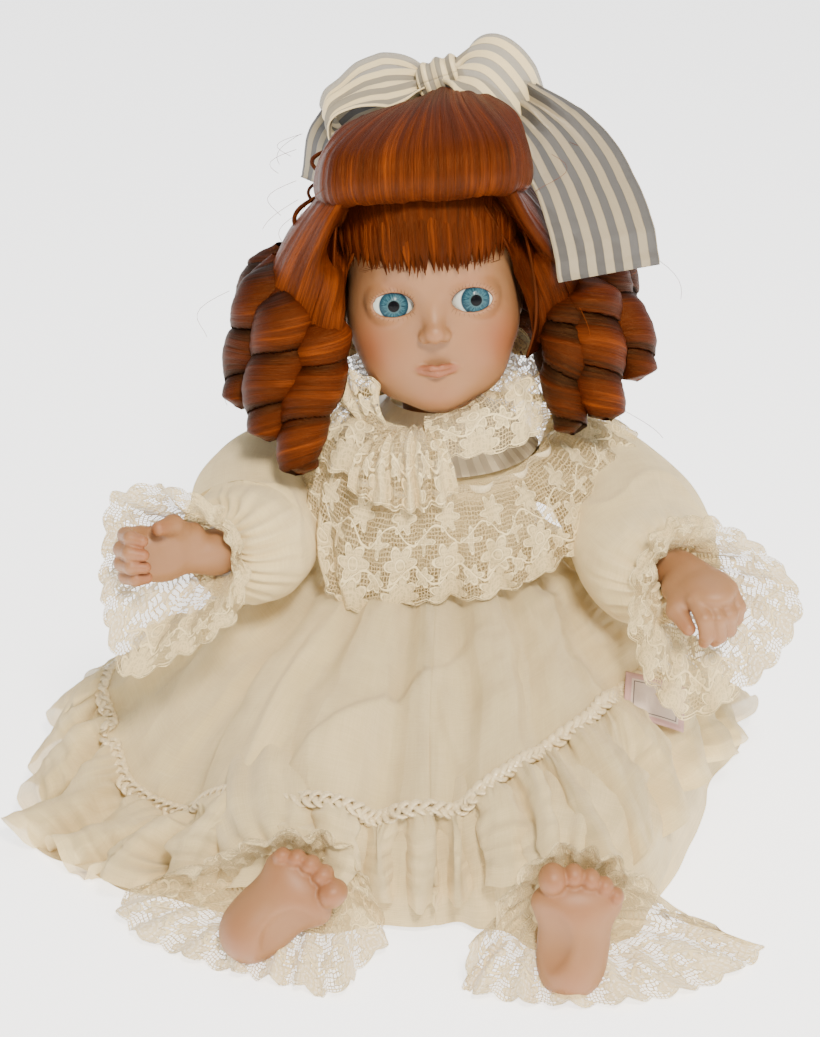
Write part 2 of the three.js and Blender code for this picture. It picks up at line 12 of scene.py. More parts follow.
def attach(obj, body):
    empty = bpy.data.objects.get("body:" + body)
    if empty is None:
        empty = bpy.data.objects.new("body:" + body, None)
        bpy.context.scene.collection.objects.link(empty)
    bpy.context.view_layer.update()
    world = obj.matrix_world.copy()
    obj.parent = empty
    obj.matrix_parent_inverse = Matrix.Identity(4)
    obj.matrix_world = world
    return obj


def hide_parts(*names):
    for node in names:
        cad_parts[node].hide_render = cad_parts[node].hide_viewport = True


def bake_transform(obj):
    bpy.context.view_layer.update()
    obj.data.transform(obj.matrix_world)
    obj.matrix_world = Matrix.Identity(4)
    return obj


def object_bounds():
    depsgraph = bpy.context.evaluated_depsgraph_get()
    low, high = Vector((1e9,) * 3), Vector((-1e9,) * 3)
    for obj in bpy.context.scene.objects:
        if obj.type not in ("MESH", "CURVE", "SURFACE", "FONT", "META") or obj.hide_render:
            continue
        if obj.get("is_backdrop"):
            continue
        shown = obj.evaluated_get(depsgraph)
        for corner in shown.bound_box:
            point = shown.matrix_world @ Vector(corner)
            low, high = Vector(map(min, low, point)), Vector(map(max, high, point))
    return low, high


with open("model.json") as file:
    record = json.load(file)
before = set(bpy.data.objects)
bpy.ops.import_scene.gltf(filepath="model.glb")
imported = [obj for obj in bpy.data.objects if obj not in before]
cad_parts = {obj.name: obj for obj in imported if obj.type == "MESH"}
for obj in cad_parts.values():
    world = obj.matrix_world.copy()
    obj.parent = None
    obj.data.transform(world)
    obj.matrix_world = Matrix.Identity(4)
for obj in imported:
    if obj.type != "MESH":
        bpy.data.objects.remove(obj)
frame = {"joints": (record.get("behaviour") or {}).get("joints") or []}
cad_low, cad_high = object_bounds()
MM = 0.001
TAU = 2 * math.pi
rng = np.random.default_rng(7)


# ---- arithmetic on arrays of points
def vec(*p):
    return np.array(p, float)


def unit(v):
    return v / np.maximum(np.linalg.norm(v, axis=-1, keepdims=True), 1e-9)


def mix(a, b, t):
    return a + (b - a) * t


def even(n):
    return np.linspace(0, 1, n)


def smooth(t):
    t = np.clip(t, 0, 1)
    return t * t * (3 - 2 * t)


def ramp(x, low, high):
    return smooth((x - low) / (high - low))


def curve(points, t, closed=False):
    """Catmull-Rom through points (n, k) at t from 0 to 1."""
    p = np.asarray(points, float)
    n = len(p) if closed else len(p) - 1
    x = np.clip(np.asarray(t, float), 0, 1) * n
    i = np.minimum(x.astype(int), n - 1)
    f = (x - i)[..., None]

    def at(j):
        return p[j % len(p)] if closed else p[np.clip(j, 0, len(p) - 1)]

    a, b, c, d = at(i - 1), at(i), at(i + 1), at(i + 2)
    return b + 0.5 * f * (c - a + f * (2 * a - 5 * b + 4 * c - d + f * (3 * (b - c) + d - a)))


def wander(x, seed, octaves=3):
    """Smooth repeatable noise of about -1 to 1 along x; one wave is about one unit long."""
    r = np.random.default_rng(seed)
    x = np.asarray(x, float)
    total = np.zeros_like(x)
    for octave in range(octaves):
        table = r.uniform(-1, 1, 1024)
        y = x * 2**octave + r.uniform(0, 100)
        i = np.floor(y).astype(int)
        f = smooth(y - i)
        total += mix(table[i % 1024], table[(i + 1) % 1024], f) / 2**octave
    return total / 1.5


def turned(v, axis, angle):
    """v rotated about a unit axis by an angle, all of which may be arrays."""
    angle = np.asarray(angle, float)[..., None]
    dot = (v * axis).sum(-1, keepdims=True)
    return v * np.cos(angle) + np.cross(axis, v) * np.sin(angle) + axis * dot * (1 - np.cos(angle))


# ---- meshes
def mesh(name, points, faces, material, uv=None, values=None, shade=True):
    """A mesh object from millimetre points. values are named arrays, one number or vector for each point."""
    data = bpy.data.meshes.new(name)
    points = np.asarray(points, float).reshape(-1, 3)
    data.from_pydata((points * MM).tolist(), [], faces if isinstance(faces, list) else faces.tolist())
    if uv is not None:
        loops = np.zeros(len(data.loops), int)
        data.loops.foreach_get("vertex_index", loops)
        layer = data.uv_layers.new(name="UVMap")
        layer.data.foreach_set("uv", np.asarray(uv, np.float32).reshape(-1, 2)[loops].ravel())
    for key, value in (values or {}).items():
        value = np.asarray(value, np.float32)
        kind = "FLOAT" if value.ndim == 1 else "FLOAT_VECTOR"
        attribute = data.attributes.new(key, kind, "POINT")
        attribute.data.foreach_set("value" if value.ndim == 1 else "vector", value.ravel())
    data.materials.append(material)
    if shade:
        data.shade_smooth()
    made = bpy.data.objects.new(name, data)
    bpy.context.scene.collection.objects.link(made)
    return made


def grid_faces(n, m, around=False, start=0):
    """Quads of an n by m grid of points; around joins the last row of n to the first."""
    i, j = np.meshgrid(np.arange(n if around else n - 1), np.arange(m - 1), indexing="ij")
    k = (i + 1) % n
    return (np.stack([i * m + j, k * m + j, k * m + j + 1, i * m + j + 1], -1) + start).reshape(-1, 4)


def normals(p, around=False):
    """Unit normals of a grid of points (n, m, 3)."""
    if around:
        du = np.roll(p, -1, 0) - np.roll(p, 1, 0)
    else:
        du = np.gradient(p, axis=0)
    return unit(np.cross(du, np.gradient(p, axis=1)))


def cloth(name, p, material, uv, thick=0.5, around=False, values=None):
    """A sheet of cloth from a grid of points (n, m, 3), thickened towards its back, with closed edges."""
    n, m = p.shape[:2]
    back = p - normals(p, around) * thick
    faces = [grid_faces(n, m, around), grid_faces(n, m, around, n * m)[:, ::-1]]
    index = np.arange(n * m).reshape(n, m)
    rims = [(index[:, 0], around, False), (index[:, -1], around, True)]
    if not around:
        rims += [(index[0], False, True), (index[-1], False, False)]
    for line, closed, flip in rims:
        a, b = (line, np.roll(line, -1)) if closed else (line[:-1], line[1:])
        quads = np.stack([a, a + n * m, b + n * m, b], -1)
        faces.append(quads[:, ::-1] if flip else quads)
    both = {k: np.concatenate([v.reshape(n * m, *v.shape[2:])] * 2) for k, v in (values or {}).items()}
    flat = np.concatenate([np.asarray(uv).reshape(-1, 2)] * 2)
    return mesh(name, np.concatenate([p.reshape(-1, 3), back.reshape(-1, 3)]), np.concatenate(faces),
        material, flat, both)


def tube(path, radius, sides=12, squash=1.0, up=vec(0, 0, 1), ends=True):
    """Points and faces of a round bar along path (n, 3). radius is (n,) or (n, sides); squash flattens it."""
    n = len(path)
    run = unit(np.gradient(path, axis=0))
    side = unit(np.cross(run, np.broadcast_to(up, run.shape)) + 1e-6)
    lift = np.cross(side, run)
    angle = np.arange(sides) * TAU / sides
    radius = np.broadcast_to(np.asarray(radius, float).reshape(n, -1), (n, sides))[..., None]
    ring = side[:, None] * np.cos(angle)[:, None] + lift[:, None] * np.sin(angle)[:, None] * squash
    points = path[:, None] + ring * radius
    faces = grid_faces(n, sides).tolist()
    last = np.arange(n - 1) * sides
    faces += np.stack([last + sides - 1, last + 2 * sides - 1, last + sides, last], -1).tolist()
    faces = [f[::-1] for f in faces]
    if ends:
        faces += [list(range(sides)), list(range((n - 1) * sides, n * sides))[::-1]]
    return points.reshape(-1, 3), faces


def joined(name, parts, material, uvs=None, values=None):
    """One mesh of several (points, faces) parts."""
    points, faces, start = [], [], 0
    for p, f in parts:
        points.append(p)
        faces += [[i + start for i in face] for face in f]
        start += len(p)
    values = {k: np.concatenate(v) for k, v in (values or {}).items()}
    uv = None if uvs is None else np.concatenate(uvs)
    return mesh(name, np.concatenate(points), faces, material, uv, values)


# ---- modelled clay: distance fields to meshes
def ball(p, centre, size):
    """Distance to an ellipsoid, good near its surface."""
    q = (p - centre) / size
    k = np.linalg.norm(q, axis=-1)
    return k * (k - 1) / np.maximum(np.linalg.norm(q / size, axis=-1), 1e-6)


def bar(p, a, b, ra, rb=None):
    """Distance to a round bar from a to b whose radius goes from ra to rb."""
    rb = ra if rb is None else rb
    t = np.clip(((p - a) @ (b - a)) / ((b - a) @ (b - a)), 0, 1)
    return np.linalg.norm(p - a - t[..., None] * (b - a), axis=-1) - mix(ra, rb, t)


def add(a, b, soft):
    """The join of two shapes, rounded over a width of soft."""
    h = np.clip(0.5 + 0.5 * (b - a) / soft, 0, 1)
    return mix(b, a, h) - soft * h * (1 - h)


def cut(a, b, soft):
    return -add(-a, b, soft)


def sculpt(name, field, low, high, step, material, values=None):
    """A closed mesh of field's zero level, by surface nets. values are named functions of the points."""
    axes = [np.arange(a, b + step, step) for a, b in zip(low, high)]
    grid = np.stack(np.meshgrid(*axes, indexing="ij"), -1)
    d = field(grid)
    nx, ny, nz = (s - 1 for s in d.shape)
    corners = [(i, j, k) for i in (0, 1) for j in (0, 1) for k in (0, 1)]

    def corner(c):
        return d[c[0] : c[0] + nx, c[1] : c[1] + ny, c[2] : c[2] + nz]

    total = np.zeros((nx, ny, nz, 3))
    count = np.zeros((nx, ny, nz))
    for a in corners:
        for axis in range(3):
            if a[axis]:
                continue
            b = tuple(v + (i == axis) for i, v in enumerate(a))
            da, db = corner(a), corner(b)
            crosses = (da < 0) != (db < 0)
            t = np.where(crosses, da / np.where(crosses, da - db, 1), 0)
            for i in range(3):
                total[..., i] += np.where(crosses, a[i] + (t if i == axis else 0), 0)
            count += crosses
    used = count > 0
    index = np.full(used.shape, -1)
    index[used] = np.arange(used.sum())
    cells = np.argwhere(used)
    points = np.array(low) + (cells + total[used] / count[used][:, None]) * step
    faces = []
    for axis in range(3):
        u, v = (axis + 1) % 3, (axis + 2) % 3
        first = [slice(0, -1)] * 3
        second = [slice(0, -1)] * 3
        first[axis], second[axis] = slice(0, -1), slice(1, None)
        a, b = d[tuple(first)] < 0, d[tuple(second)] < 0
        edges = np.argwhere(a != b)
        edges = edges[(edges[:, u] > 0) & (edges[:, v] > 0)]
        out = a[tuple(edges.T)]
        step_u, step_v = np.eye(3, dtype=int)[u], np.eye(3, dtype=int)[v]
        quad = np.stack([index[tuple((edges - s).T)] for s in (step_u + step_v, step_v, 0 * step_u,
            step_u)], -1)
        faces.append(np.where(out[:, None], quad, quad[:, ::-1]))
    faces = np.concatenate(faces)
    worked = {k: f(points) for k, f in (values or {}).items()}
    return mesh(name, points, faces, material, values=worked)


# ---- shader building blocks
class Shader:
    """Short calls for building one node tree. Values may be numbers, colours or other nodes' sockets."""

    def __init__(self, tree):
        self.tree = tree

    def node(self, kind, inputs=None, **settings):
        made = self.tree.nodes.new(kind)
        for key, value in settings.items():
            setattr(made, key, value)
        for key, value in (inputs or {}).items():
            if isinstance(value, bpy.types.NodeSocket):
                self.tree.links.new(value, made.inputs[key])
            else:
                made.inputs[key].default_value = value
        return made

    def math(self, operation, a, b=0.0, c=0.0, clamp=False):
        made = self.node("ShaderNodeMath", {0: a, 1: b, 2: c}, operation=operation, use_clamp=clamp)
        return made.outputs[0]

    def times(self, a, b):
        return self.math("MULTIPLY", a, b)

    def plus(self, a, b):
        return self.math("ADD", a, b)

    def minus(self, a, b):
        return self.math("SUBTRACT", a, b)

    def most(self, a, b):
        return self.math("MAXIMUM", a, b)

    def fit(self, a, scale, shift):
        return self.math("MULTIPLY_ADD", a, scale, shift)

    def step(self, x, low, high):
        """0 below low, 1 above high, smooth between; low may be the larger."""
        made = self.node("ShaderNodeMapRange", {0: x, 1: low, 2: high}, interpolation_type="SMOOTHSTEP")
        return made.outputs[0]

    def blend(self, factor, a, b, mode="MIX"):
        made = self.node("ShaderNodeMix", {0: factor, 6: a, 7: b}, data_type="RGBA", blend_type=mode)
        return made.outputs[2]

    def noise(self, vector, scale, detail=2.0, rough=0.5):
        return self.node(
            "ShaderNodeTexNoise", {"Vector": vector, "Scale": scale, "Detail": detail, "Roughness": rough}
        ).outputs["Fac"]

    def scaled(self, vector, x, y, z=1.0):
        return self.node("ShaderNodeMapping", {"Vector": vector, "Scale": (x, y, z)}).outputs[0]

    def uv(self):
        return self.node("ShaderNodeUVMap", uv_map="UVMap").outputs[0]

    def value(self, name):
        return self.node("ShaderNodeAttribute", attribute_name=name).outputs["Fac"]

    def apart(self, vector):
        return self.node("ShaderNodeSeparateXYZ", {0: vector}).outputs


def effect(name, inputs, outputs):
    """An empty shader node group with named sockets: returns its Shader, its inputs and a finisher."""
    tree = bpy.data.node_groups.new(name, "ShaderNodeTree")
    for key, (kind, value) in inputs.items():
        socket = tree.interface.new_socket(key, in_out="INPUT", socket_type="NodeSocket" + kind)
        if value is not None:
            socket.default_value = value
    for key, kind in outputs.items():
        tree.interface.new_socket(key, in_out="OUTPUT", socket_type="NodeSocket" + kind)
    s = Shader(tree)
    given = s.node("NodeGroupInput").outputs
    close = s.node("NodeGroupOutput").inputs

    def finish(**sockets):
        for key, socket in sockets.items():
            tree.links.new(socket, close[key])
        return tree

    return s, given, finish


def finish_of(name, principled, build=None):
    """A Principled material. build(shader) returns more sockets for it, and may give Height for a bump."""
    material = bpy.data.materials.new(name)
    material.use_nodes = True
    s = Shader(material.node_tree)
    surface = material.node_tree.nodes["Principled BSDF"]
    made = dict(principled)
    made.update(build(s) if build else {})
    height, depth = made.pop("Height", None), made.pop("Depth", 0.0002)
    if height is not None:
        made["Normal"] = s.node(
            "ShaderNodeBump", {"Height": height, "Distance": depth, "Strength": 1.0}
        ).outputs[0]
    for key, value in made.items():
        if isinstance(value, bpy.types.NodeSocket):
            material.node_tree.links.new(value, surface.inputs[key])
        else:
            surface.inputs[key].default_value = value
    return material


# UV coordinates are millimetres on every cloth, lace, hair and ribbon piece: x along it, y across it.
def weave_effect():
    """Threads of a plain weave, with thicker slubs here and there, and soft creases painted into its colour
    as cloudy shade.
    """
    s, given, finish = effect(
        "Plain weave",
        {"Place": ("Vector", None), "Threads per mm": ("Float", 1.6)},
        {"Height": "Float", "Gaps": "Float", "Shade": "Float"},
    )
    place = s.apart(given["Place"])
    turns = s.times(given["Threads per mm"], TAU)
    slub = s.noise(s.scaled(given["Place"], 0.05, 2.2), 1.0, 3.0)
    slub_across = s.noise(s.scaled(given["Place"], 2.2, 0.05), 1.0, 3.0)
    warp = s.math("SINE", s.times(place[0], turns))
    weft = s.math("SINE", s.times(place[1], turns))
    threads = s.plus(s.math("ABSOLUTE", warp), s.math("ABSOLUTE", weft))
    slubs = s.plus(slub, slub_across)
    height = s.plus(s.times(threads, 0.4), s.times(slubs, 0.9))
    gaps = s.step(threads, 0.75, 0.2)
    # Painted shade of soft creases: cloudy patches of darker and lighter colour.
    crease_shade = s.noise(given["Place"], 0.06, 4.0, 0.6)
    shade = s.fit(slubs, 0.28, s.times(crease_shade, 0.44))
    return finish(Height=height, Gaps=gaps, Shade=shade)


def lace_effect():
    """Edging lace: net ground, a flower and a shell fan in each repeat, stems, and a corded edge."""
    s, given, finish = effect(
        "Edging lace",
        {"Place": ("Vector", None), "Repeat": ("Float", 24.0)},
        {"Cover": "Float", "Height": "Float", "Cord": "Float"},
    )
    warped = s.node(
        "ShaderNodeVectorMath",
        {
            0: s.node("ShaderNodeTexNoise",
                {"Vector": given["Place"], "Scale": 0.14, "Detail": 1.0}).outputs["Color"],
            1: (2.4, 2.4, 0.0),
            2: given["Place"],
        },
        operation="MULTIPLY_ADD",
    ).outputs[0]
    x, y, _ = s.apart(warped)
    net = s.node(
        "ShaderNodeTexVoronoi",
        {"Vector": s.scaled(warped, 0.66, 0.56), "Scale": 1.0, "Randomness": 0.35},
        voronoi_dimensions="2D",
        feature="DISTANCE_TO_EDGE",
    ).outputs["Distance"]
    mesh_threads = s.step(net, 0.17, 0.09)

    def motif(shift, height, petals, radius, waist, sharp=1.0):
        """Signed distance-like field of a rosette repeated along the lace; above 0 is inside it."""
        along = s.math("WRAP", s.minus(x, shift), s.times(given["Repeat"], 0.5),
                       s.times(given["Repeat"], -0.5))
        across = s.minus(y, height)
        far = s.math("SQRT", s.plus(s.times(along, along), s.times(across, across)))
        angle = s.math("ARCTAN2", across, along)
        lobes = s.math("COSINE", s.times(angle, petals))
        lobes = s.fit(s.math("POWER", s.fit(lobes, 0.5, 0.5), sharp), 1 - waist, waist)
        return s.minus(s.times(lobes, radius), far), far

    flower, flower_far = motif(0.0, 21.0, 6.0, 7.6, 0.55, 0.6)
    fan, fan_far = motif(0.0, 6.5, 9.0, 9.0, 0.62, 0.5)
    small, _ = motif(12.0, 14.5, 5.0, 4.6, 0.5)
    leaf, _ = motif(12.0, 29.0, 4.0, 5.2, 0.25, 2.0)
    top_flower, _ = motif(0.0, 39.0, 6.0, 6.6, 0.5)
    fields = [flower, fan, small, leaf, top_flower]
    inside, outline = None, None
    for field in fields:
        body = s.step(field, -0.1, 0.3)
        edge = s.step(s.math("ABSOLUTE", field), 0.85, 0.4)
        inside = body if inside is None else s.most(inside, body)
        outline = edge if outline is None else s.most(outline, edge)
    stem_line = s.fit(s.math("SINE", s.times(x, TAU / 24.0)), 3.5, 15.5)
    stem = s.step(s.math("ABSOLUTE", s.minus(y, stem_line)), 0.8, 0.4)
    stem_up = s.fit(s.math("SINE", s.times(x, TAU / 24.0)), -4.0, 32.0)
    stem = s.most(stem, s.step(s.math("ABSOLUTE", s.minus(y, stem_up)), 0.7, 0.35))
    ring = s.step(s.math("ABSOLUTE", s.minus(flower_far, 2.4)), 0.6, 0.3)
    ribs = s.step(s.math("ABSOLUTE", s.minus(s.math("WRAP", fan_far, 2.6, 0.0), 1.3)), 0.75, 0.4)
    border = s.step(y, 1.9, 1.4)
    heading = s.step(s.math("ABSOLUTE", s.minus(y, 3.0)), 0.5, 0.25)
    cord = s.most(s.most(outline, stem), s.most(s.most(border, heading),
                  s.times(ring, inside)))
    filling = s.times(inside, s.fit(ribs, 0.25, 0.68))
    threads = s.most(mesh_threads, cord)
    cover = s.most(threads, filling)
    fine = s.noise(given["Place"], 3.0, 2.0)
    height = s.plus(s.times(cord, 0.9), s.fit(inside, 0.35, s.times(fine, 0.35)))
    return finish(Cover=cover, Height=height, Cord=s.most(cord, s.times(inside, 0.5)))


def strand_effect():
    """Hair fibres that run along x: fine strands, broader locks and their shading."""
    s, given, finish = effect("Hair strands", {"Place": ("Vector", None)},
        {"Shade": "Float", "Height": "Float"})
    fine = s.noise(s.scaled(given["Place"], 0.02, 5.0), 1.0, 3.0, 0.7)
    locks = s.noise(s.scaled(given["Place"], 0.012, 0.9), 1.0, 3.0, 0.6)
    broad = s.noise(s.scaled(given["Place"], 0.03, 0.18), 1.0, 2.0)
    shade = s.plus(s.times(fine, 0.35), s.fit(locks, 0.45, s.times(broad, 0.3)))
    height = s.fit(fine, 0.45, s.times(locks, 0.8))
    return finish(Shade=shade, Height=height)


def stripe_effect():
    """A ribbon's lengthwise stripes across y: satin bars with sheer organza between them, and a selvedge."""
    s, given, finish = effect(
        "Ribbon stripes",
        {"Place": ("Vector", None), "Pitch": ("Float", 7.0), "Width": ("Float", 46.0)},
        {"Satin": "Float", "Height": "Float", "Selvedge": "Float"},
    )
    x, y, _ = s.apart(given["Place"])
    phase = s.math("PINGPONG", y, s.times(given["Pitch"], 0.5))
    satin = s.step(phase, s.times(given["Pitch"], 0.28), s.times(given["Pitch"], 0.23))
    middle = s.times(given["Width"], 0.5)
    far = s.math("ABSOLUTE", s.minus(y, middle))
    selvedge = s.step(far, s.minus(middle, 1.6), s.minus(middle, 1.0))
    ribs = s.math("SINE", s.times(x, TAU * 2.2))
    height = s.fit(satin, 0.6, s.times(ribs, 0.12))
    return finish(Satin=s.most(satin, selvedge), Height=height, Selvedge=selvedge)


WEAVE, LACE, STRANDS, STRIPES = weave_effect(), lace_effect(), strand_effect(), stripe_effect()


def use(s, tree, inputs):
    return s.node("ShaderNodeGroup", inputs, node_tree=tree).outputs


def voile_finish(name, light, dark, cover=0.86, threads=1.5):
    def build(s):
        weave = use(s, WEAVE, {"Place": s.uv(), "Threads per mm": threads})
        colour = s.blend(s.step(weave["Shade"], 0.3, 0.75), (*dark, 1), (*light, 1))
        alpha = s.math("MULTIPLY_ADD", weave["Gaps"], -0.16, cover, clamp=True)
        return {"Base Color": colour, "Alpha": alpha, "Height": weave["Height"], "Depth": 0.00022}

    return finish_of(name, {"Roughness": 0.86, "Sheen Weight": 0.2, "Specular IOR Level": 0.25}, build)


def lace_finish(name, light, dark, net=0.0):
    def build(s):
        lace = use(s, LACE, {"Place": s.uv(), "Repeat": 24.0})
        # The lighter raised cord and the darker ground are partly the lace's pattern and partly painted
        # highlight and shade of its relief.
        colour = s.blend(s.fit(lace["Cord"], 0.8, 0.2), (*dark, 1), (*light, 1))
        alpha = s.fit(lace["Cover"], 0.97 - net, net)
        return {"Base Color": colour, "Alpha": alpha, "Height": lace["Height"], "Depth": 0.0005}

    return finish_of(name, {"Roughness": 0.82, "Specular IOR Level": 0.25, "Sheen Weight": 0.1}, build)


def hair_finish(name, dark, middle, light):
    def build(s):
        place = s.uv()
        strands = use(s, STRANDS, {"Place": place})
        # The light attribute and the strand noise pick between the dark, middle and light colours: partly the
        # fibre's own colour, partly painted shade and highlight.
        shade = s.times(strands["Shade"], s.value("light"))
        low = s.blend(s.step(shade, 0.28, 0.52), (*dark, 1), (*middle, 1))
        colour = s.blend(s.step(shade, 0.5, 0.78), low, (*light, 1))
        tangent = s.node("ShaderNodeTangent", direction_type="UV_MAP", uv_map="UVMap").outputs[0]
        return {"Base Color": colour, "Height": strands["Height"], "Depth": 0.0007, "Tangent": tangent}

    return finish_of(
        name,
        {"Roughness": 0.40, "Anisotropic": 0.75, "Specular IOR Level": 0.26,
            "Specular Tint": (1, 0.52, 0.20, 1)},
        build,
    )


def ribbon_finish(name, satin, organza, width, pitch, sheer=0.42):
    def build(s):
        stripes = use(s, STRIPES, {"Place": s.uv(), "Pitch": pitch, "Width": width})
        colour = s.blend(stripes["Satin"], (*organza, 1), (*satin, 1))
        alpha = s.fit(stripes["Satin"], sheer, 1 - sheer)
        rough = s.fit(stripes["Satin"], -0.18, 0.5)
        return {"Base Color": colour, "Alpha": alpha, "Roughness": rough, "Height": stripes["Height"],
            "Depth": 0.0003}

    return finish_of(name, {"Anisotropic": 0.4, "Specular IOR Level": 0.6, "Sheen Weight": 0.15}, build)


def bisque_finish():
    def build(s):
        place = s.node("ShaderNodeAttribute", attribute_name="place").outputs["Vector"]
        cloud = s.noise(place, 0.06, 3.0)
        base = s.blend(cloud, (0.265, 0.122, 0.048, 1), (0.315, 0.158, 0.070, 1))
        blushed = s.blend(s.times(s.value("blush"), 0.55), base, (0.27, 0.052, 0.013, 1))
        painted = s.blend(s.times(s.value("lip"), 0.62), blushed, (0.265, 0.066, 0.032, 1))
        # Painted shade: the crease value darkens the lid rims, the parting of the lips and the nostrils.
        shaded = s.blend(s.times(s.value("crease"), 0.55), painted, (0.20, 0.07, 0.03, 1))
        grain = s.noise(place, 3.2, 3.0, 0.7)
        return {"Base Color": shaded, "Height": grain, "Depth": 0.00006,
                "Roughness": s.fit(cloud, 0.12, 0.4)}

    return finish_of("Painted bisque", {"Specular IOR Level": 0.4, "Subsurface Weight": 0.12,
                                        "Subsurface Radius": (0.004, 0.002,
                                            0.001), "Subsurface Scale": 0.5}, build)


def eye_finish():
    """u is the turn round the pupil, v the distance from it in centimetres."""

    def build(s):
        u, v, _ = s.apart(s.uv())
        turn = s.times(u, TAU)
        round_place = s.node("ShaderNodeCombineXYZ", {0: s.times(s.math("COSINE", turn), 9.0),
                                                      1: s.times(s.math("SINE", turn), 9.0),
                                                      2: s.times(v, 2.0)}).outputs[0]
        streaks = s.noise(round_place, 1.6, 4.0, 0.7)
        inner = s.blend(s.step(streaks, 0.35, 0.65), (0.006, 0.026, 0.040, 1), (0.050, 0.135, 0.165, 1))
        iris = s.blend(s.step(v, 0.42, 0.62), inner, (0.012, 0.04, 0.06, 1))
        halo = s.blend(s.step(v, 0.34, 0.24), iris, (0.05, 0.10, 0.11, 1))
        pupil = s.blend(s.step(v, 0.215, 0.255), (0.002, 0.002, 0.003, 1), halo)
        white = s.blend(s.step(v, 0.62, 0.68), pupil, (0.55, 0.58, 0.52, 1))
        return {"Base Color": white, "Height": s.times(streaks, s.step(v, 0.62, 0.5)), "Depth": 0.0001}

    return finish_of("Glass eye", {"Roughness": 0.12, "Coat Weight": 0.12, "Coat Roughness": 0.02,
                                   "Specular IOR Level": 0.06}, build)


def paint_finish(name, colour, rough=0.6, alpha=1.0):
    def build(s):
        place = s.node("ShaderNodeNewGeometry").outputs["Position"]
        cloud = s.noise(place, 900.0, 2.0)
        tone = s.blend(cloud, (*[c * 0.75 for c in colour], 1), (*colour, 1))
        return {"Base Color": tone}

    return finish_of(name, {"Roughness": rough, "Alpha": alpha}, build)


bisque = bisque_finish()
eye_glass = eye_finish()
hair = hair_finish("Ginger wig fibre", (0.006, 0.0009, 0.0002), (0.050, 0.0062, 0.0003),
    (0.185, 0.034, 0.0015))
voile = voile_finish("Cream voile", (0.97, 0.79, 0.42), (0.78, 0.60, 0.29), 0.95)
sheer_voile = voile_finish("Sheer skirt voile", (0.97, 0.79, 0.42), (0.80, 0.62, 0.31), 0.84)
lining = voile_finish("Petticoat cotton", (0.82, 0.66, 0.35), (0.60, 0.47, 0.24), 1.0, 1.1)
lace_cloth = lace_finish("Cream lace", (0.87, 0.70, 0.37), (0.44, 0.32, 0.15), 0.13)
bow_ribbon = ribbon_finish("Striped bow ribbon", (0.74, 0.59, 0.31), (0.30, 0.26, 0.18), 46.0, 7.6, 0.25)
# The tails are the same ribbon as the loops; their darker colours are painted shade.
shaded_tail_ribbon = ribbon_finish("Shaded striped tail ribbon", (0.27, 0.215, 0.12), (0.052, 0.046, 0.037), 46.0, 7.6,
    0.12)
yoke_satin = ribbon_finish("Striped yoke satin", (0.80, 0.68, 0.44), (0.60, 0.49, 0.31), 60.0, 5.0, 0.0)


# ---- head
NECK = np.array(next(j for j in frame["joints"] if j["name"] == "head_turn")["pos_m"]) / MM
PITCH, ROLL = math.radians(-8), math.radians(-4)
HEAD_TURN = np.array((Matrix.Rotation(PITCH, 3, "X") @ Matrix.Rotation(ROLL, 3, "Y")))
EYE = vec(16.3, -42, 66.2)  # centre of an eyeball in the head's own frame, on the +X side
EYEBALL, LID = 11.0, 12.15
LIP_LINE = 38.4


def from_head(p):
    """Points in the head's own frame, in the row frame."""
    return np.asarray(p) @ HEAD_TURN.T + NECK


def mirrored(p):
    return np.concatenate([np.abs(p[..., :1]), p[..., 1:]], -1)


def lips(p):
    upper = add(bar(p, vec(2.2, -55.3, 40.0), vec(9.2, -51.8, 39.1), 1.5, 0.5),
        ball(p, vec(0, -55, 39.4), vec(3.4, 1.9, 1.1)), 1.5)
    lower = bar(p, vec(0, -54.9, 36.7), vec(7.2, -52.4, 37.9), 1.85, 0.8)
    return np.minimum(upper, lower)


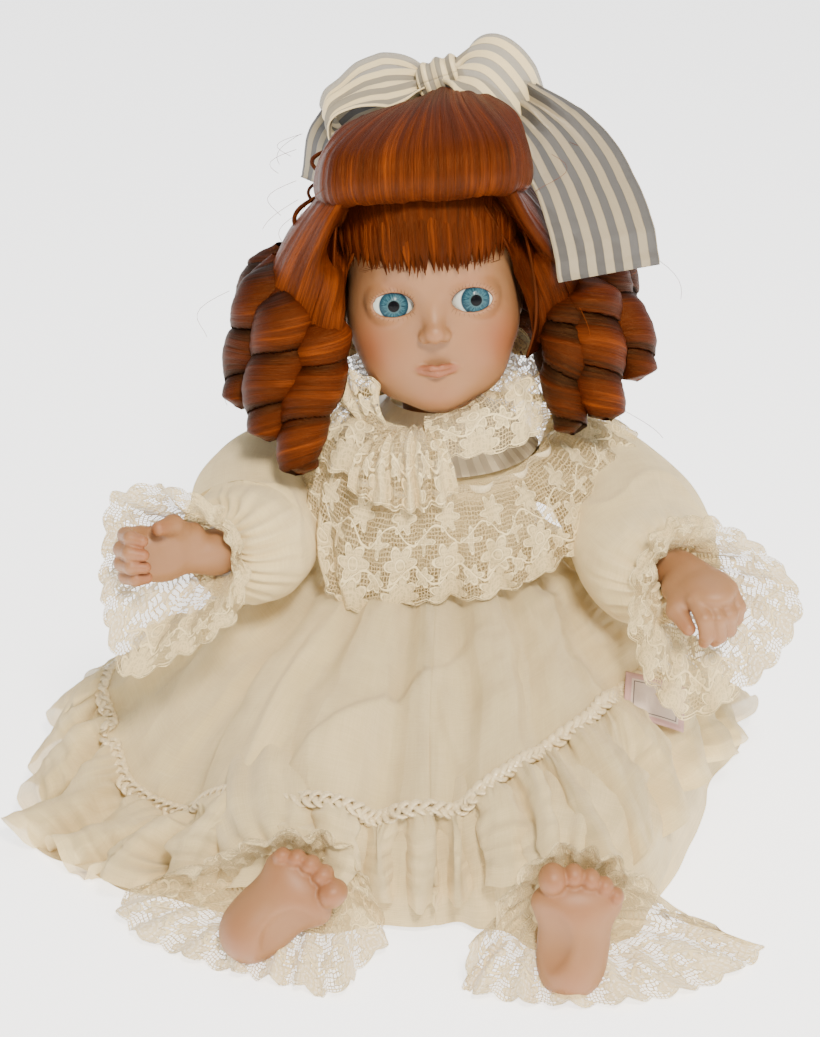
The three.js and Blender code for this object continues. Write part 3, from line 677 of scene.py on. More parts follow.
def face_field(points):
    p = mirrored(points)
    d = ball(p, vec(0, -13, 85), vec(37, 46, 47))
    d = add(d, ball(p, vec(0, -21, 55), vec(31, 32.5, 38)), 10)
    d = add(d, ball(p, vec(18, -27, 54), vec(17, 18, 19)), 12)
    d = add(d, ball(p, vec(14, -39, 43), vec(11, 12, 11)), 10)
    d = add(d, ball(p, vec(0, -42.5, 27.8), vec(13.5, 9.8, 10)), 9)
    d = add(d, ball(p, vec(15, -33, 36), vec(12.5, 13.5, 12.5)), 9)
    d = add(d, bar(p, vec(0, -2, -8), vec(0, -7, 45), 16.2, 16.8), 8)
    d = cut(d, ball(p, vec(17, -59, 66.5), vec(10.5, 7.2, 7.5)), 5)
    d = add(d, bar(p, vec(0, -51.8, 70), vec(0, -58.3, 56), 2.4, 3.7), 5)
    d = add(d, ball(p, vec(0, -59.3, 54.4), vec(4.1, 3.5, 3.6)), 2.6)
    d = add(d, ball(p, vec(4.2, -56.2, 53.2), vec(2.8, 3.1, 2.7)), 2.0)
    d = cut(d, ball(p, vec(2.3, -59.6, 51.0), vec(1.15, 1.5, 0.9)), 0.7)
    d = add(d, lips(p), 2.0)
    d = cut(d, bar(p, vec(0, -57.5, 38.2), vec(9.4, -53.4, 38.9), 0.4), 0.9)
    d = cut(d, ball(p, vec(0, -56.2, 32.4), vec(6, 1.7, 2)), 3)
    d = cut(d, bar(p, vec(0, -58.2, 48), vec(0, -57.6, 43), 0.7), 1.6)
    d = add(d, ball(p, EYE, vec(LID, LID, LID)), 1.3)
    side, rise = p[..., 0] - EYE[0], p[..., 2] - EYE[2]
    half = np.where(rise > 0, 5.7, 4.5)
    almond = (np.sqrt((side / 8.5) ** 2 + (rise / half) ** 2) - 1) * 4.6
    d = cut(d, np.maximum(almond, p[..., 1] - EYE[1]), 0.8)
    d = add(d, ball(p, vec(36, -8, 60), vec(3.4, 7, 10.5)), 2)
    return cut(d, ball(p, vec(39.3, -10.5, 61), vec(2.3, 4, 6.5)), 1)


def glow(p, centre, size):
    return np.exp(-((((p - centre) / size) ** 2).sum(-1)))


def face_values():
    def blush(points):
        p = mirrored(points)
        spots = [glow(p, vec(25, -40, 48), vec(12, 16, 13)), 0.35 * glow(p, vec(0, -52, 26), vec(9, 9, 6))]
        spots += [0.3 * glow(p, vec(0, -62, 54), vec(5, 5, 5)), 0.3 * glow(p, vec(17, -55, 75), vec(9, 9, 4))]
        return np.clip(sum(spots), 0, 1)

    def lip(points):
        p = mirrored(points)
        return smooth(1 - (lips(p) + 0.2) / 1.1) * ramp(-p[..., 1], 50, 53)

    # Painted shade along the lid rims, the lip parting and the nostrils.
    def crease(points):
        p = mirrored(points)
        side, rise = p[..., 0] - EYE[0], p[..., 2] - EYE[2]
        half = np.where(rise > 0, 5.7, 4.5)
        rim = np.abs(np.sqrt((side / 8.5) ** 2 + (rise / half) ** 2) - 1.0)
        lid = np.where(rise > 0, 1.0, 0.35) * smooth(1 - rim / 0.13) * (p[..., 1] < -44)
        line = smooth(1 - np.abs(p[..., 2] - LIP_LINE) / 0.7) * (p[..., 0] < 7.6) * (p[..., 1] < -50)
        nostril = glow(p, vec(2.3, -59.2, 51.0), vec(1.5, 2.5, 1.1))
        return np.clip(lid + 0.8 * line + nostril, 0, 1)

    return {"blush": blush, "lip": lip, "crease": crease, "place": lambda p: p}


head = sculpt("Head", face_field, (-42, -66, -20), (42, 36, 134), 0.8, bisque, face_values())
skin = np.array([v.co for v in head.data.vertices]) / MM
face_tree = BVHTree.FromPolygons(skin.tolist(), [list(f.vertices) for f in head.data.polygons])
head.data.vertices.foreach_set("co", (from_head(skin) * MM).astype(np.float32).ravel())
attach(head, "head")
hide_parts("head_shell")


def on_face(x, z, lift=0.08):
    """The point of the face straight in front of (x, z), in the head's own frame."""
    hit, normal, _, _ = face_tree.ray_cast(Vector((x, -90, z)), Vector((0, 1, 0)))
    return np.array(hit) + np.array(normal) * lift if hit else vec(x, -50, z)


def painted_strokes(name, lines, material, width):
    """Brush strokes on the face. lines are arrays of (x, z) points; each tapers to its end."""
    parts = []
    for line in lines:
        p = np.array([on_face(x, z) for x, z in line])
        t = even(len(p))
        run = unit(np.gradient(p, axis=0))
        across = unit(np.cross(run, vec(0, -1, 0)))
        half = (width * (1 - 0.85 * t) * np.minimum(1, t * 6 + 0.4) / 2)[:, None]
        both = np.stack([p + across * half, p - across * half], 1)
        parts.append((both.reshape(-1, 3), grid_faces(len(p), 2).tolist()))
    made = joined(name, parts, material)
    co = np.array([v.co for v in made.data.vertices]) / MM
    made.data.vertices.foreach_set("co", (from_head(co) * MM).astype(np.float32).ravel())
    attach(made, "head")


def brow(side):
    strokes = []
    for i in range(30):
        t = i / 29
        x = mix(7.5, 26.5, t)
        z = 78.6 + 4.6 * math.sin(math.pi * (0.12 + 0.68 * t)) - 1.2 * t + rng.uniform(-0.4, 0.4)
        length = mix(3.6, 4.8, math.sin(math.pi * t)) * rng.uniform(0.8, 1.1)
        lean = mix(1.15, 0.05, t**0.6)
        steps = even(5)
        strokes.append(np.stack([side * (x + length * steps * math.cos(lean)),
            z + length * steps * math.sin(lean) * 0.75], 1))
    return strokes


def lashes(side, upper):
    strokes = []
    count = 16 if upper else 12
    for i in range(count):
        angle = mix(0.16, 0.92, i / (count - 1)) * math.pi * (1 if upper else -1)
        x, z = EYE[0] - 8.9 * math.cos(angle), EYE[2] + (6.2 if upper else 5.1) * math.sin(angle)
        length = (1.9 if upper else 1.7) * rng.uniform(0.85, 1.15)
        out = vec(-math.cos(angle) * 0.9 + 0.35, math.sin(angle))
        out = out / np.linalg.norm(out)
        steps = even(4)[:, None]
        line = vec(x, z) + out * length * steps
        line[:, 0] *= side
        strokes.append(line)
    return strokes


brow_paint = paint_finish("Painted brow", (0.20, 0.085, 0.035), alpha=0.55)
lash_paint = paint_finish("Painted lash", (0.07, 0.03, 0.015), alpha=0.7)
for label, side in (("left", 1), ("right", -1)):
    painted_strokes(f"Brow_{label}", brow(side), brow_paint, 0.36)
    painted_strokes(f"Lashes_{label}", lashes(side, True) + lashes(side, False), lash_paint, 0.3)
    arc = np.linspace(0.06, 0.95, 26) * math.pi
    line = np.stack([side * (EYE[0] - 8.55 * np.cos(arc)), EYE[2] + 5.8 * np.sin(arc)], 1)
    painted_strokes(f"Lid_line_{label}", [line, line[::-1]], lash_paint, 0.55)


def eyeball(label, side, look):
    """A glass eye turned by look, degrees outwards and up. Its rings run from the pupil to the back."""
    rings, sides = 40, 56
    away = np.linspace(0, math.pi * 0.72, rings)
    turn = np.linspace(0, TAU, sides + 1)
    bulge = EYEBALL + 0.5 * smooth(1 - away / 0.62)
    x = np.outer(np.sin(away) * bulge, np.cos(turn))
    z = np.outer(np.sin(away) * bulge, np.sin(turn))
    y = -np.repeat((np.cos(away) * bulge)[:, None], sides + 1, 1)
    p = np.stack([x, y, z], -1)
    aim = np.array(Matrix.Rotation(math.radians(look[0]), 3, "Z") @ Matrix.Rotation(math.radians(-look[1]),
        3, "X"))
    p = from_head(p @ aim.T + EYE * vec(side, 1, 1))
    uv = np.stack(np.broadcast_arrays(turn[None] / TAU, (away * EYEBALL / 10)[:, None]), -1)
    made = mesh(f"Eye_{label}", p, grid_faces(rings, sides + 1), eye_glass, uv)
    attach(made, "head")
    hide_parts(f"eye_{label}")


eyeball("left", 1, (9, 2))
eyeball("right", -1, (1, 1))


# ---- wig
def hair_sheet(name, p, length, width, around=False, ridge=0.5, seed=1, light=1.0, thick=1.2):
    """Combed hair from a grid (n locks across, m points along each). Ridges run along the strands."""
    n, m = p.shape[:2]
    across = even(n)
    along = even(m)
    out = normals(p, around)
    wave = wander(across * width / 7.0, seed) * 0.7 + wander(across * width / 2.2, seed + 1) * 0.45
    drift = wander(along * length / 40.0, seed + 2)[None] * 0.35
    lift = ridge * (wave[:, None] * (1 + drift))
    if around:
        lift = lift * np.minimum(1, 12 * np.minimum(across, 1 - across))[:, None]
    p = p + out * lift[..., None]
    uv = np.stack(np.broadcast_arrays((along * length)[None], (across * width)[:, None]), -1)
    # Painted highlight: the raised ridges get a lighter tone, which the hair colour reads as the light
    # attribute.
    tone = np.broadcast_to(light + 0.10 * wave[:, None], (n, m))
    return cloth(name, p, hair, uv, thick, around, {"light": tone})


def surface_of(lines, n, m):
    """A smooth (n, m, 3) grid through guide strands given as lists of points."""
    t = even(m)
    guides = np.stack([curve(line, t) for line in lines])
    return np.stack([curve(guides[:, j], even(n)) for j in range(m)], 1)


def roll_guides():
    """Strands of the crown roll: from the gather under the bow, forward over the brow and tucked under."""
    lines = []
    for u in np.linspace(-1, 1, 9):
        bend = math.sqrt(max(0.0, 1 - 0.93 * u * u))
        x = -4.5 + 42.5 * math.sin(u * 1.45) / math.sin(1.45)
        droop = 8 * abs(u) ** 2.4
        tilt = 0.07 * (x + 5.5)
        lines.append([
            (2.6 + 7 * u, 16, 289 + tilt),
            (2.0 + 17 * u, 8 - 2 * abs(u), 296 - 4 * abs(u) + tilt),
            (-2 + 34 * u, -14 - 9 * bend + 6 * abs(u), 295.5 - 7 * abs(u) ** 2 + tilt),
            (x * 0.95, -14 - 28 * bend, 287.5 - 0.9 * droop + tilt),
            (x * 1.02, -14 - 36.5 * bend, 277.5 - droop + tilt),
            (x * 0.99, -14 - 33.5 * bend, 268 - 0.7 * droop + tilt),
            (x * 0.88, -13 - 24 * bend, 263.5 - 0.4 * droop + tilt),
            (x * 0.80, -10 - 12 * bend, 266 - 0.3 * droop + tilt),
        ])
    # At each end the strands turn back into the coil and lie against the head.
    for end in (0, -1):
        turned_in = [vec(*p) for p in lines[end]]
        middle = vec(turned_in[4][0] * 0.62, -6, 272)
        coil = [tuple(mix(p, vec(p[0] * 0.80, -7, p[2]),
            0.75) * (1 - 0.25 * ramp(k, 1, 4)) + middle * 0.25 * ramp(k, 1, 4))
                for k, p in enumerate(turned_in)]
        lines.insert(0 if end == 0 else len(lines), coil)
    return lines


def ride_hair(made, *nodes):
    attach(made, "head")
    if nodes:
        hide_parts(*nodes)
    return made


ride_hair(hair_sheet("Front_roll", surface_of(roll_guides(), 260, 60), 110, 120, ridge=0.75, seed=11),
    "hair_roll")


def cap_surface(n=180, m=60):
    """Combed-down hair on the scalp, from the crown to the nape, leaving the face free."""
    turn = np.linspace(-2.42, 2.42, n) + math.pi
    fall = np.linspace(0.04, 1, m)
    low = 0.40 + 0.26 * smooth((np.abs(turn - math.pi) - 1.3) / -0.9)
    angle = fall[None] * (low[:, None] * math.pi)
    size = vec(41.5, 50, 50.5)
    x = np.sin(angle) * np.sin(turn)[:, None]
    y = -np.sin(angle) * np.cos(turn)[:, None]
    return from_head(np.stack([x, y, np.cos(angle)], -1) * size + vec(0, -12, 84))


ride_hair(hair_sheet("Combed_cap", cap_surface(), 130, 250, ridge=0.9, seed=21, light=0.86), "wig_cap",
    "crown_pate")


def forehead(x, z, lift):
    """A point just in front of the brow, in the head's own frame, or of its edge if x is beyond it there."""
    hit = None
    while hit is None:
        hit, normal, _, _ = face_tree.ray_cast(Vector((x, -90, z)), Vector((0, 1, 0)))
        z -= 1.5
    return np.array(hit) + np.array(normal) * lift


def lock_grid(line, width, cupped, facing, n=7, m=18, twist=0.0, taper=1.0, blunt=0.25):
    """A flat tapering lock along line, cupped across its width and facing away from facing."""
    t = even(m)
    spine = curve(line, t)
    run = unit(np.gradient(spine, axis=0))
    out = unit(spine - facing)
    side = unit(np.cross(run, out))
    side = turned(side, run, twist * t)
    out = np.cross(side, run)
    half = width / 2 * (1 - taper * ramp(t, blunt, 1.0) * 0.93) * ramp(t, -0.2, 0.15)
    s = np.linspace(-1, 1, n)
    return (spine + side * (s[:, None] * half)[...,
        None] + out * ((1 - s * s)[:, None] * half * cupped)[..., None])


def locks(name, items, light, seed):
    """Many locks as one mesh. items are (grid, length, width)."""
    r = np.random.default_rng(seed)
    parts, uvs, tones = [], [], []
    for grid, length, width in items:
        n, m = grid.shape[:2]
        parts.append((grid.reshape(-1, 3), grid_faces(n, m).tolist()))
        start = r.uniform(0, 400, 2)
        u, v = np.meshgrid(np.linspace(0, width, n), np.linspace(0, length, m), indexing="ij")
        uvs.append(np.stack([v + start[0], u + start[1]], -1).reshape(-1, 2))
        tones.append(np.full(n * m, light * r.uniform(0.88, 1.12)))
    return joined(name, parts, hair, uvs, {"light": tones})


def fringe_items():
    items = []
    for count, lift, high in ((40, 1.6, -1), (44, 2.9, 0), (40, 4.0, 1.2)):
        for i in range(count):
            u = (i + 0.5) / count * 2 - 1 + rng.uniform(-0.02, 0.02)
            x_top, x_low = 32 * u, 32.5 * u + rng.uniform(-1.2, 1.2)
            low = 81.5 + 2.5 * abs(u) ** 2 + rng.uniform(-1.6, 2.0) + high
            heights = np.linspace(106, low, 6)
            xs = mix(x_top, x_low, even(6) ** 1.3)
            line = np.array([forehead(x, z, lift + 0.9 * math.sin(math.pi * k / 5)) for k,
                (x, z) in enumerate(zip(xs, heights))])
            line[-1] += vec(rng.uniform(-0.8, 0.8), -0.6, 0)
            width = rng.uniform(3.0, 4.6)
            grid = lock_grid(line, width, 0.35, vec(0, -10, 80), n=5, m=14, blunt=0.6)
            items.append((from_head(grid), 34, width))
    return items


def fringe_surface(n=200, m=40):
    """The smooth combed hair of the fringe, from under the roll to just above its cut tips."""
    lines = []
    for u in np.linspace(-1, 1, 15):
        heights = np.linspace(123, 90 - 3 * abs(u) ** 3, 7)
        line = [forehead(mix(37.5, 32.5, t**1.2) * u, z, mix(3.0, 4.4, math.sin(math.pi * t**0.8)))
                for t, z in zip(even(7), heights)]
        line[0] = line[0] + vec(0, 3, 4)
        lines.append(line)
    return from_head(surface_of(lines, n, m))


ride_hair(hair_sheet("Fringe_top", fringe_surface(), 45, 80, ridge=0.55, seed=26, light=0.95))
ride_hair(locks("Fringe", fringe_items(), 0.95, 5), "hair_fringe")


def swath(name, guides, width, length, nodes=(), light=1.0, seed=3, n=70, m=46, ridge=0.6):
    return ride_hair(hair_sheet(name, surface_of(guides, n, m), length, width, ridge=ridge, seed=seed,
        light=light), *nodes)


# Side swaths: each guide runs from the parting under the roll down to the ringlets.
def brow_line(*places):
    """Points just clear of the fringe, from (x, z) places in the head's own frame."""
    return [tuple(from_head(forehead(x, z, lift))) for x, z, lift in places]


RIGHT_SWATH = [
    brow_line((-17, 113, 2.6), (-22, 101, 4.4), (-29, 86, 3.6), (-33.5, 72, 3.0)) + [(-37, -38, 214),
        (-40, -34, 196)],
    brow_line((-23, 113, 3.4), (-29, 101, 6.4), (-35, 88, 6.2)) + [(-40, -41, 230), (-44, -41, 213),
        (-47, -34, 193)],
    [(-33, -38, 268), (-40, -42, 256), (-45, -40, 243), (-49, -39, 230), (-54, -37, 213), (-58, -29, 193)],
    [(-37, -34, 269), (-47, -36, 256), (-54, -33, 243), (-60, -31, 230), (-65, -28, 213), (-67, -21, 197)],
    [(-40, -24, 269), (-50, -24, 256), (-59, -22, 243), (-66, -18, 230), (-72, -13, 216), (-73, -8, 202)],
    [(-41, -8, 266), (-50, -8, 254), (-60, -6, 242), (-66, -2, 230), (-72, 4, 216), (-73, 9, 202)],
]
LEFT_SWATH = [
    brow_line((15, 113, 2.6), (21, 101, 4.4), (28, 87, 3.6), (33, 74, 3.0)) + [(39, -30, 214),
        (42, -26, 198)],
    brow_line((21, 113, 3.4), (28, 101, 6.0), (34, 89, 5.8)) + [(44, -34, 232), (49, -30, 216),
        (51, -26, 198)],
    [(31, -36, 266), (37, -36, 254), (44, -33, 243), (51, -30, 232), (58, -25, 218), (61, -18, 202)],
    [(33, -26, 265), (42, -24, 254), (51, -21, 243), (60, -18, 232), (67, -12, 219), (69, -6, 206)],
    [(35, -8, 264), (44, -8, 253), (53, -6, 243), (62, -2, 231), (69, 4, 216), (70, 8, 202)],
]
# The swath on the doll's right has a higher light value as painted light, lifting the shade where it meets
# the fringe.
swath("Side_swath_right", RIGHT_SWATH, 80, 95, ["hair_side_right"], 1.12, 31, ridge=0.9)
swath("Side_swath_left", LEFT_SWATH, 75, 95, ["hair_side_left"], 0.95, 32, ridge=0.9)


def ringlet(name, top, tip, radius, turns, seed, hand=1, nodes=(), light=1.0, start=0.0, small_end=0.62):
    """A sausage curl: a band of hair wound about a line from top to tip, each wrap rolling over the next."""
    r = np.random.default_rng(seed)
    m, n = int(turns * 26) + 20, 56
    t = even(m)
    top, tip = np.asarray(top, float), np.asarray(tip, float)
    bend = vec(r.uniform(-3, 3), r.uniform(-3, 3), 0)
    spine = curve([top, mix(top, tip, 0.35) + bend, mix(top, tip, 0.7) - bend * 0.5, tip], t)
    run = unit(np.gradient(spine, axis=0))
    side = unit(np.cross(run, vec(0, 1, 0)))
    lift = np.cross(side, run)
    angle = np.linspace(0, TAU, n)
    phase = (turns * t[:, None] - hand * angle / TAU + start) % 1.0
    wrap = np.sqrt(np.clip(1 - ((phase - 0.56) / 0.56) ** 2, 0, 1)) * smooth(phase / 0.05) ** 0.5
    strand = turns * t[:, None] - hand * angle / TAU + start
    each = 1 + 0.16 * wander(strand * 0.9 + 5, seed + 3, 1)
    body = radius * (1 - (1 - small_end) * ramp(t, 0.45, 1.0)) * (0.10 + 0.90 * ramp(t, -0.02, 0.22))
    close = ramp(t, 1.0, 0.93)
    size = body[:, None] * each * (0.58 + 0.42 * wrap) * (0.25 + 0.75 * close[:, None])
    lock = wander(phase * 5, seed) + 0.6 * wander(phase * 13, seed + 1)
    size = size + 0.42 * lock * ramp(body, 1, 4)[:, None]
    ring = side[:, None] * np.cos(angle)[:, None] + lift[:, None] * np.sin(angle)[:, None]
    p = spine[:, None] + ring * size[..., None]
    p = p + run[:, None] * (2.4 * (phase - 0.5) * (phase > 0.02))[..., None]
    uv = np.stack([angle[None] * radius + 0 * phase, phase * 15 + np.floor(strand) * 37], -1)
    # Painted highlight and shade: each wrap is lighter at its middle and darker towards the grooves between
    # wraps.
    tone = light * (0.30 + 0.68 * wrap**1.5 + 0.12 * lock)
    faces = grid_faces(m, n)
    made = mesh(name, p, faces, hair, uv, {"light": tone.ravel()})
    return ride_hair(made, *nodes)


RINGLETS = {
    # top, tip, radius, turns, seed, node numbers, tone
    "right": [
        ((-47, -27, 216), (-57, -50, 147), 12.8, 3.6, 41, (1,), 1.1),
        ((-61, -23, 224), (-70, -43, 160), 14.2, 3.1, 42, (2,), 1.05),
        ((-67, -8, 230), (-83, -26, 168), 13.6, 3.1, 43, (3,), 0.95),
        ((-56, -14, 206), (-60, -17, 158), 11.6, 2.9, 44, (4,), 0.7),
        ((-66, 6, 230), (-80, 4, 174), 13.5, 2.6, 45, (), 0.85),
        ((-58, 24, 216), (-62, 30, 166), 13.5, 2.8, 46, (), 0.8),
    ],
    "left": [
        ((51, -20, 220), (59, -41, 162), 12.8, 3.2, 51, (1,), 0.9),
        ((62, -17, 225), (73, -41, 168), 13.8, 2.9, 52, (2,), 1.05),
        ((69, -5, 230), (88, -24, 180), 13.4, 2.5, 53, (3,), 1.0),
        ((54, -12, 208), (58, -14, 162), 11.6, 2.7, 54, (4,), 0.7),
        ((66, 8, 230), (86, 2, 186), 13.2, 2.0, 55, (), 0.85),
        ((60, 24, 214), (66, 30, 166), 13.5, 2.8, 56, (), 0.8),
    ],
}
for label, curls in RINGLETS.items():
    for i, (top, tip, radius, turns, seed, numbers, tone) in enumerate(curls):
        nodes = [f"ringlet_{label}_{k}" for k in numbers]
        ringlet(f"Ringlet_{label}_{i + 1}", top, tip, radius, turns, seed, 1 if label == "left" else -1,
            nodes, tone)
BACK_CURLS = [(-38, 44), (-20, 52), (0, 55), (20, 52), (38, 44)]
for i, (x, y) in enumerate(BACK_CURLS):
    ringlet(f"Back_ringlet_{i + 1}", (x * 0.95, y - 4, 222), (x * 1.1, y + 3, 166), 12.6, 3.6, 61 + i, 1,
        (), 0.85)


def back_surface():
    lines = []
    for u in np.linspace(-1, 1, 11):
        turn = u * 2.2
        out, back = math.sin(turn), math.cos(turn)
        lines.append([
            (-5 + 26 * out, 10 + 12 * back, 284),
            (-4 + 40 * out, 6 + 32 * back, 272),
            (-2 + 48 * out, 2 + 48 * back, 250),
            (0 + 52 * out, 0 + 57 * back, 228),
            (1 + 52 * out, 0 + 58 * back, 208),
            (1 + 48 * out, 0 + 54 * back, 192),
        ])
    return surface_of(lines, 170, 40)


ride_hair(hair_sheet("Back_hair", back_surface(), 110, 210, ridge=0.9, seed=71, light=0.85), "hair_back")


def stray_curls():
    """Thin open curls that stand away from the wig at the doll's right."""
    parts, uvs, tones = [], [], []
    loops = [
        ((-44, -6, 276), (-47, -10, 258), 5.6, 1.25, 0.8),
        ((-46, -8, 260), (-58, -14, 228), 7.0, 1.15, 0.9),
        ((-44, 2, 262), (-56, -2, 236), 5.0, 1.6, 0.6),
    ]
    for top, tip, radius, turns, thick in loops:
        t = even(90)
        spine = mix(vec(*top), vec(*tip), t[:, None])
        angle = turns * TAU * t
        size = radius * ramp(t, -0.3, 0.2) * ramp(t, 1.3, 0.6)
        path = spine + np.stack([np.cos(angle) * size, np.sin(angle) * size * 0.7,
            np.sin(angle * 0.5) * 1.5], 1)
        p, f = tube(path, thick * ramp(t, 1.02, 0.8) + 0.12, 8)
        parts.append((p, f))
        uvs.append(np.stack(np.broadcast_arrays((t * 60)[:, None], np.arange(8)[None] * 0.7),
            -1).reshape(-1, 2))
        tones.append(np.full(len(p), 0.9))
    return joined("Stray_curls", parts, hair, uvs, {"light": tones})


ride_hair(stray_curls())


def flyaways():
    """Single hairs that leave the roll and the curls."""
    parts, uvs, tones = [], [], []
    for _ in range(60):
        side = rng.choice([-1, 1])
        x, y, z = side * rng.uniform(30, 86), rng.uniform(-40, 20), rng.uniform(165, 285)
        x = np.sign(x) * min(abs(x), 56 if z > 240 else 90)
        length, lean = rng.uniform(8, 20), rng.uniform(-0.5, 0.5)
        t = even(9)[:, None]
        drop = vec(side * (0.3 + lean), rng.uniform(-0.4, 0.2), -1)
        path = vec(x, y, z) + drop * length * t + vec(side, 0, 0) * 7 * np.sin(t * rng.uniform(1.5, 4))
        p, f = tube(path, np.full(9, 0.11), 3)
        parts.append((p, f))
        uvs.append(np.zeros((len(p), 2)) + rng.uniform(0, 50, 2))
        tones.append(np.full(len(p), 1.15))
    return joined("Loose_hairs", parts, hair, uvs, {"light": tones})


ride_hair(flyaways())


# ---- bow
def ribbon(name, line, up, width, nodes=(), cup=0.0, pinch=(), waves=1.2, seed=1, m=90, n=28,
    finish=bow_ribbon):
    """A striped ribbon along line. up are its across-directions at the same points; pinch are
    (place along, share of width) pairs."""
    t = even(m)
    spine, across = curve(line, t), unit(curve(up, t))
    run = unit(np.gradient(spine, axis=0))
    across = unit(across - run * (across * run).sum(-1, keepdims=True))
    out = np.cross(run, across)
    share = np.ones(m)
    for place, narrow, reach in pinch:
        share = np.minimum(share, 1 - (1 - narrow) * np.exp(-(((t - place) / reach) ** 2)))
    s = np.linspace(-1, 1, n)
    gather = (1 - share)
    fold = np.sin(s[:, None] * math.pi * 3.2 + 1.3) * gather * width * 0.11
    sag = cup * (1 - s[:, None] ** 2) * width * 0.5
    wave = waves * wander(t * 4 + 3, seed)[None] * s[:, None] + 0.5 * waves * wander(t * 9,
        seed + 1)[None] * (1 + 0 * s[:, None])
    p = spine + across * (s[:, None] * share * width / 2)[..., None] + out * (fold + sag + wave)[..., None]
    length = np.concatenate([[0], np.cumsum(np.linalg.norm(np.diff(spine, axis=0), axis=1))])
    uv = np.stack(np.broadcast_arrays(length[None], ((s + 1) / 2 * width)[:, None]), -1)
    made = cloth(name, p, finish, uv, 0.35)
    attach(made, "head")
    if nodes:
        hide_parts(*nodes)
    return made


BOW_WIDTH = 46
# The doll's left: over the top from the knot, rolled over at its end and back under, then the tail.
ribbon(
    "Bow_loop_left",
    [(5, 16, 299), (12, 12, 304), (21, 8, 303), (31, 5, 293), (39, 7, 281), (38, 15, 273), (29, 20, 275),
        (17, 22, 286), (7, 22, 295)],
    [(0.45, 0.82, 0.6), (0.5, 0.7, 0.6), (0.52, 0.66, 0.56), (0.5, 0.68, 0.5), (0.4, 0.8, 0.4),
        (0.3, 0.9, 0.3), (0.25, 0.9, 0.3), (0.2, 0.9, 0.4), (0.3, 0.9, 0.5)],
    BOW_WIDTH - 4, ["bow_loop_left"], pinch=[(0, 0.28, 0.10), (1, 0.28, 0.10)], seed=81,
)
ribbon(
    "Bow_tail_left",
    [(32, 13, 293), (43, 2, 286), (54, -10, 276), (63, -22, 262), (69, -31, 247), (72, -36, 231)],
    [(0.66, 0.48, 0.58), (0.78, 0.45, 0.44), (0.88, 0.40, 0.28), (0.94, 0.32, 0.16), (0.96, 0.28, 0.05),
        (0.96, 0.28, -0.02)],
    BOW_WIDTH - 2, ["bow_tail_left"], seed=82, waves=2.6, pinch=[(0, 0.55, 0.3)], finish=shaded_tail_ribbon,
)
ribbon(
    "Bow_loop_right",
    [(0, 20, 297), (-10, 19, 299), (-23, 18, 298), (-36, 16, 293), (-45, 17, 284), (-43, 20, 276),
        (-34, 23, 275), (-20, 25, 283), (-2, 24, 293)],
    [(0, 0.85, 0.5), (0, 0.85, 0.52), (-0.05, 0.85, 0.5), (-0.1, 0.87, 0.42), (-0.2, 0.88, 0.35),
        (-0.2, 0.88, 0.35), (-0.1, 0.86, 0.4), (0, 0.86, 0.45), (0, 0.85, 0.5)],
    BOW_WIDTH - 10, ["bow_loop_right"], pinch=[(0, 0.3, 0.14), (1, 0.3, 0.12),
        (0.45, 0.65, 0.16)], seed=83, waves=2.2,
)
ribbon(
    "Bow_tail_right",
    [(-2, 26, 292), (-18, 28, 286), (-34, 27, 280), (-45, 23, 268), (-49, 20, 252)],
    [(0, 0.7, 0.7), (0, 0.75, 0.6), (-0.2, 0.8, 0.5), (-0.4, 0.85, 0.3), (-0.5, 0.8, 0.1)],
    BOW_WIDTH - 12, ["bow_tail_right"], pinch=[(0, 0.4, 0.2)], seed=84, waves=1.5, finish=shaded_tail_ribbon,
)


def knot():
    """The ribbon wrapped round the bow's middle, gathered lengthwise."""
    m, n = 60, 40
    turn = np.linspace(0, TAU, m)
    s = np.linspace(-1, 1, n)
    centre, tilt = vec(3.0, 19, 298), vec(0.0, 0.3, 0.95)
    axis = unit(vec(0.9, -0.1, 0.35))
    side = unit(np.cross(axis, tilt))
    up = np.cross(side, axis)
    size = 8.2 * (0.82 + 0.18 * (1 - s[:, None] ** 2) ** 0.5) + 0.7 * np.sin(s[:,
        None] * 9 + np.sin(turn) * 0.8)
    p = centre + axis * (s[:, None, None] * 9) + (side * np.cos(turn)[:, None] + up * np.sin(turn)[:,
        None] * 1.1)[None] * size[..., None]
    uv = np.stack(np.broadcast_arrays((turn * 8)[None], ((s + 1) * 16)[:, None]), -1)
    made = cloth("Bow_knot", p, bow_ribbon, uv, 0.4)
    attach(made, "head")
    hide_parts("bow_knot")


knot()


# ---- cloth shapes
def cloud(x, y, seed, octaves=3):
    """Smooth repeatable noise of about -1 to 1 over a plane; one bump is about one unit across."""
    r = np.random.default_rng(seed)
    total = np.zeros(np.broadcast(x, y).shape)
    for octave in range(octaves):
        table = r.uniform(-1, 1, (128, 128))
        u, v = x * 2**octave + r.uniform(0, 60), y * 2**octave + r.uniform(0, 60)
        i, j = np.floor(u).astype(int), np.floor(v).astype(int)
        fu, fv = smooth(u - i), smooth(v - j)
        low = mix(table[i % 128, j % 128], table[(i + 1) % 128, j % 128], fu)
        high = mix(table[i % 128, (j + 1) % 128], table[(i + 1) % 128, (j + 1) % 128], fu)
        total += mix(low, high, fv) / 2**octave
    return total / 1.5


def drape(guides, n, m, closed=False):
    """A smooth (n, m, 3) grid through guides, which are lists of points from the cloth's top to its edge."""
    t = even(m)
    lines = np.stack([curve(g, t) for g in guides])
    s = np.arange(n) / n if closed else even(n)
    return np.stack([curve(lines[:, j], s, closed) for j in range(m)], 1)


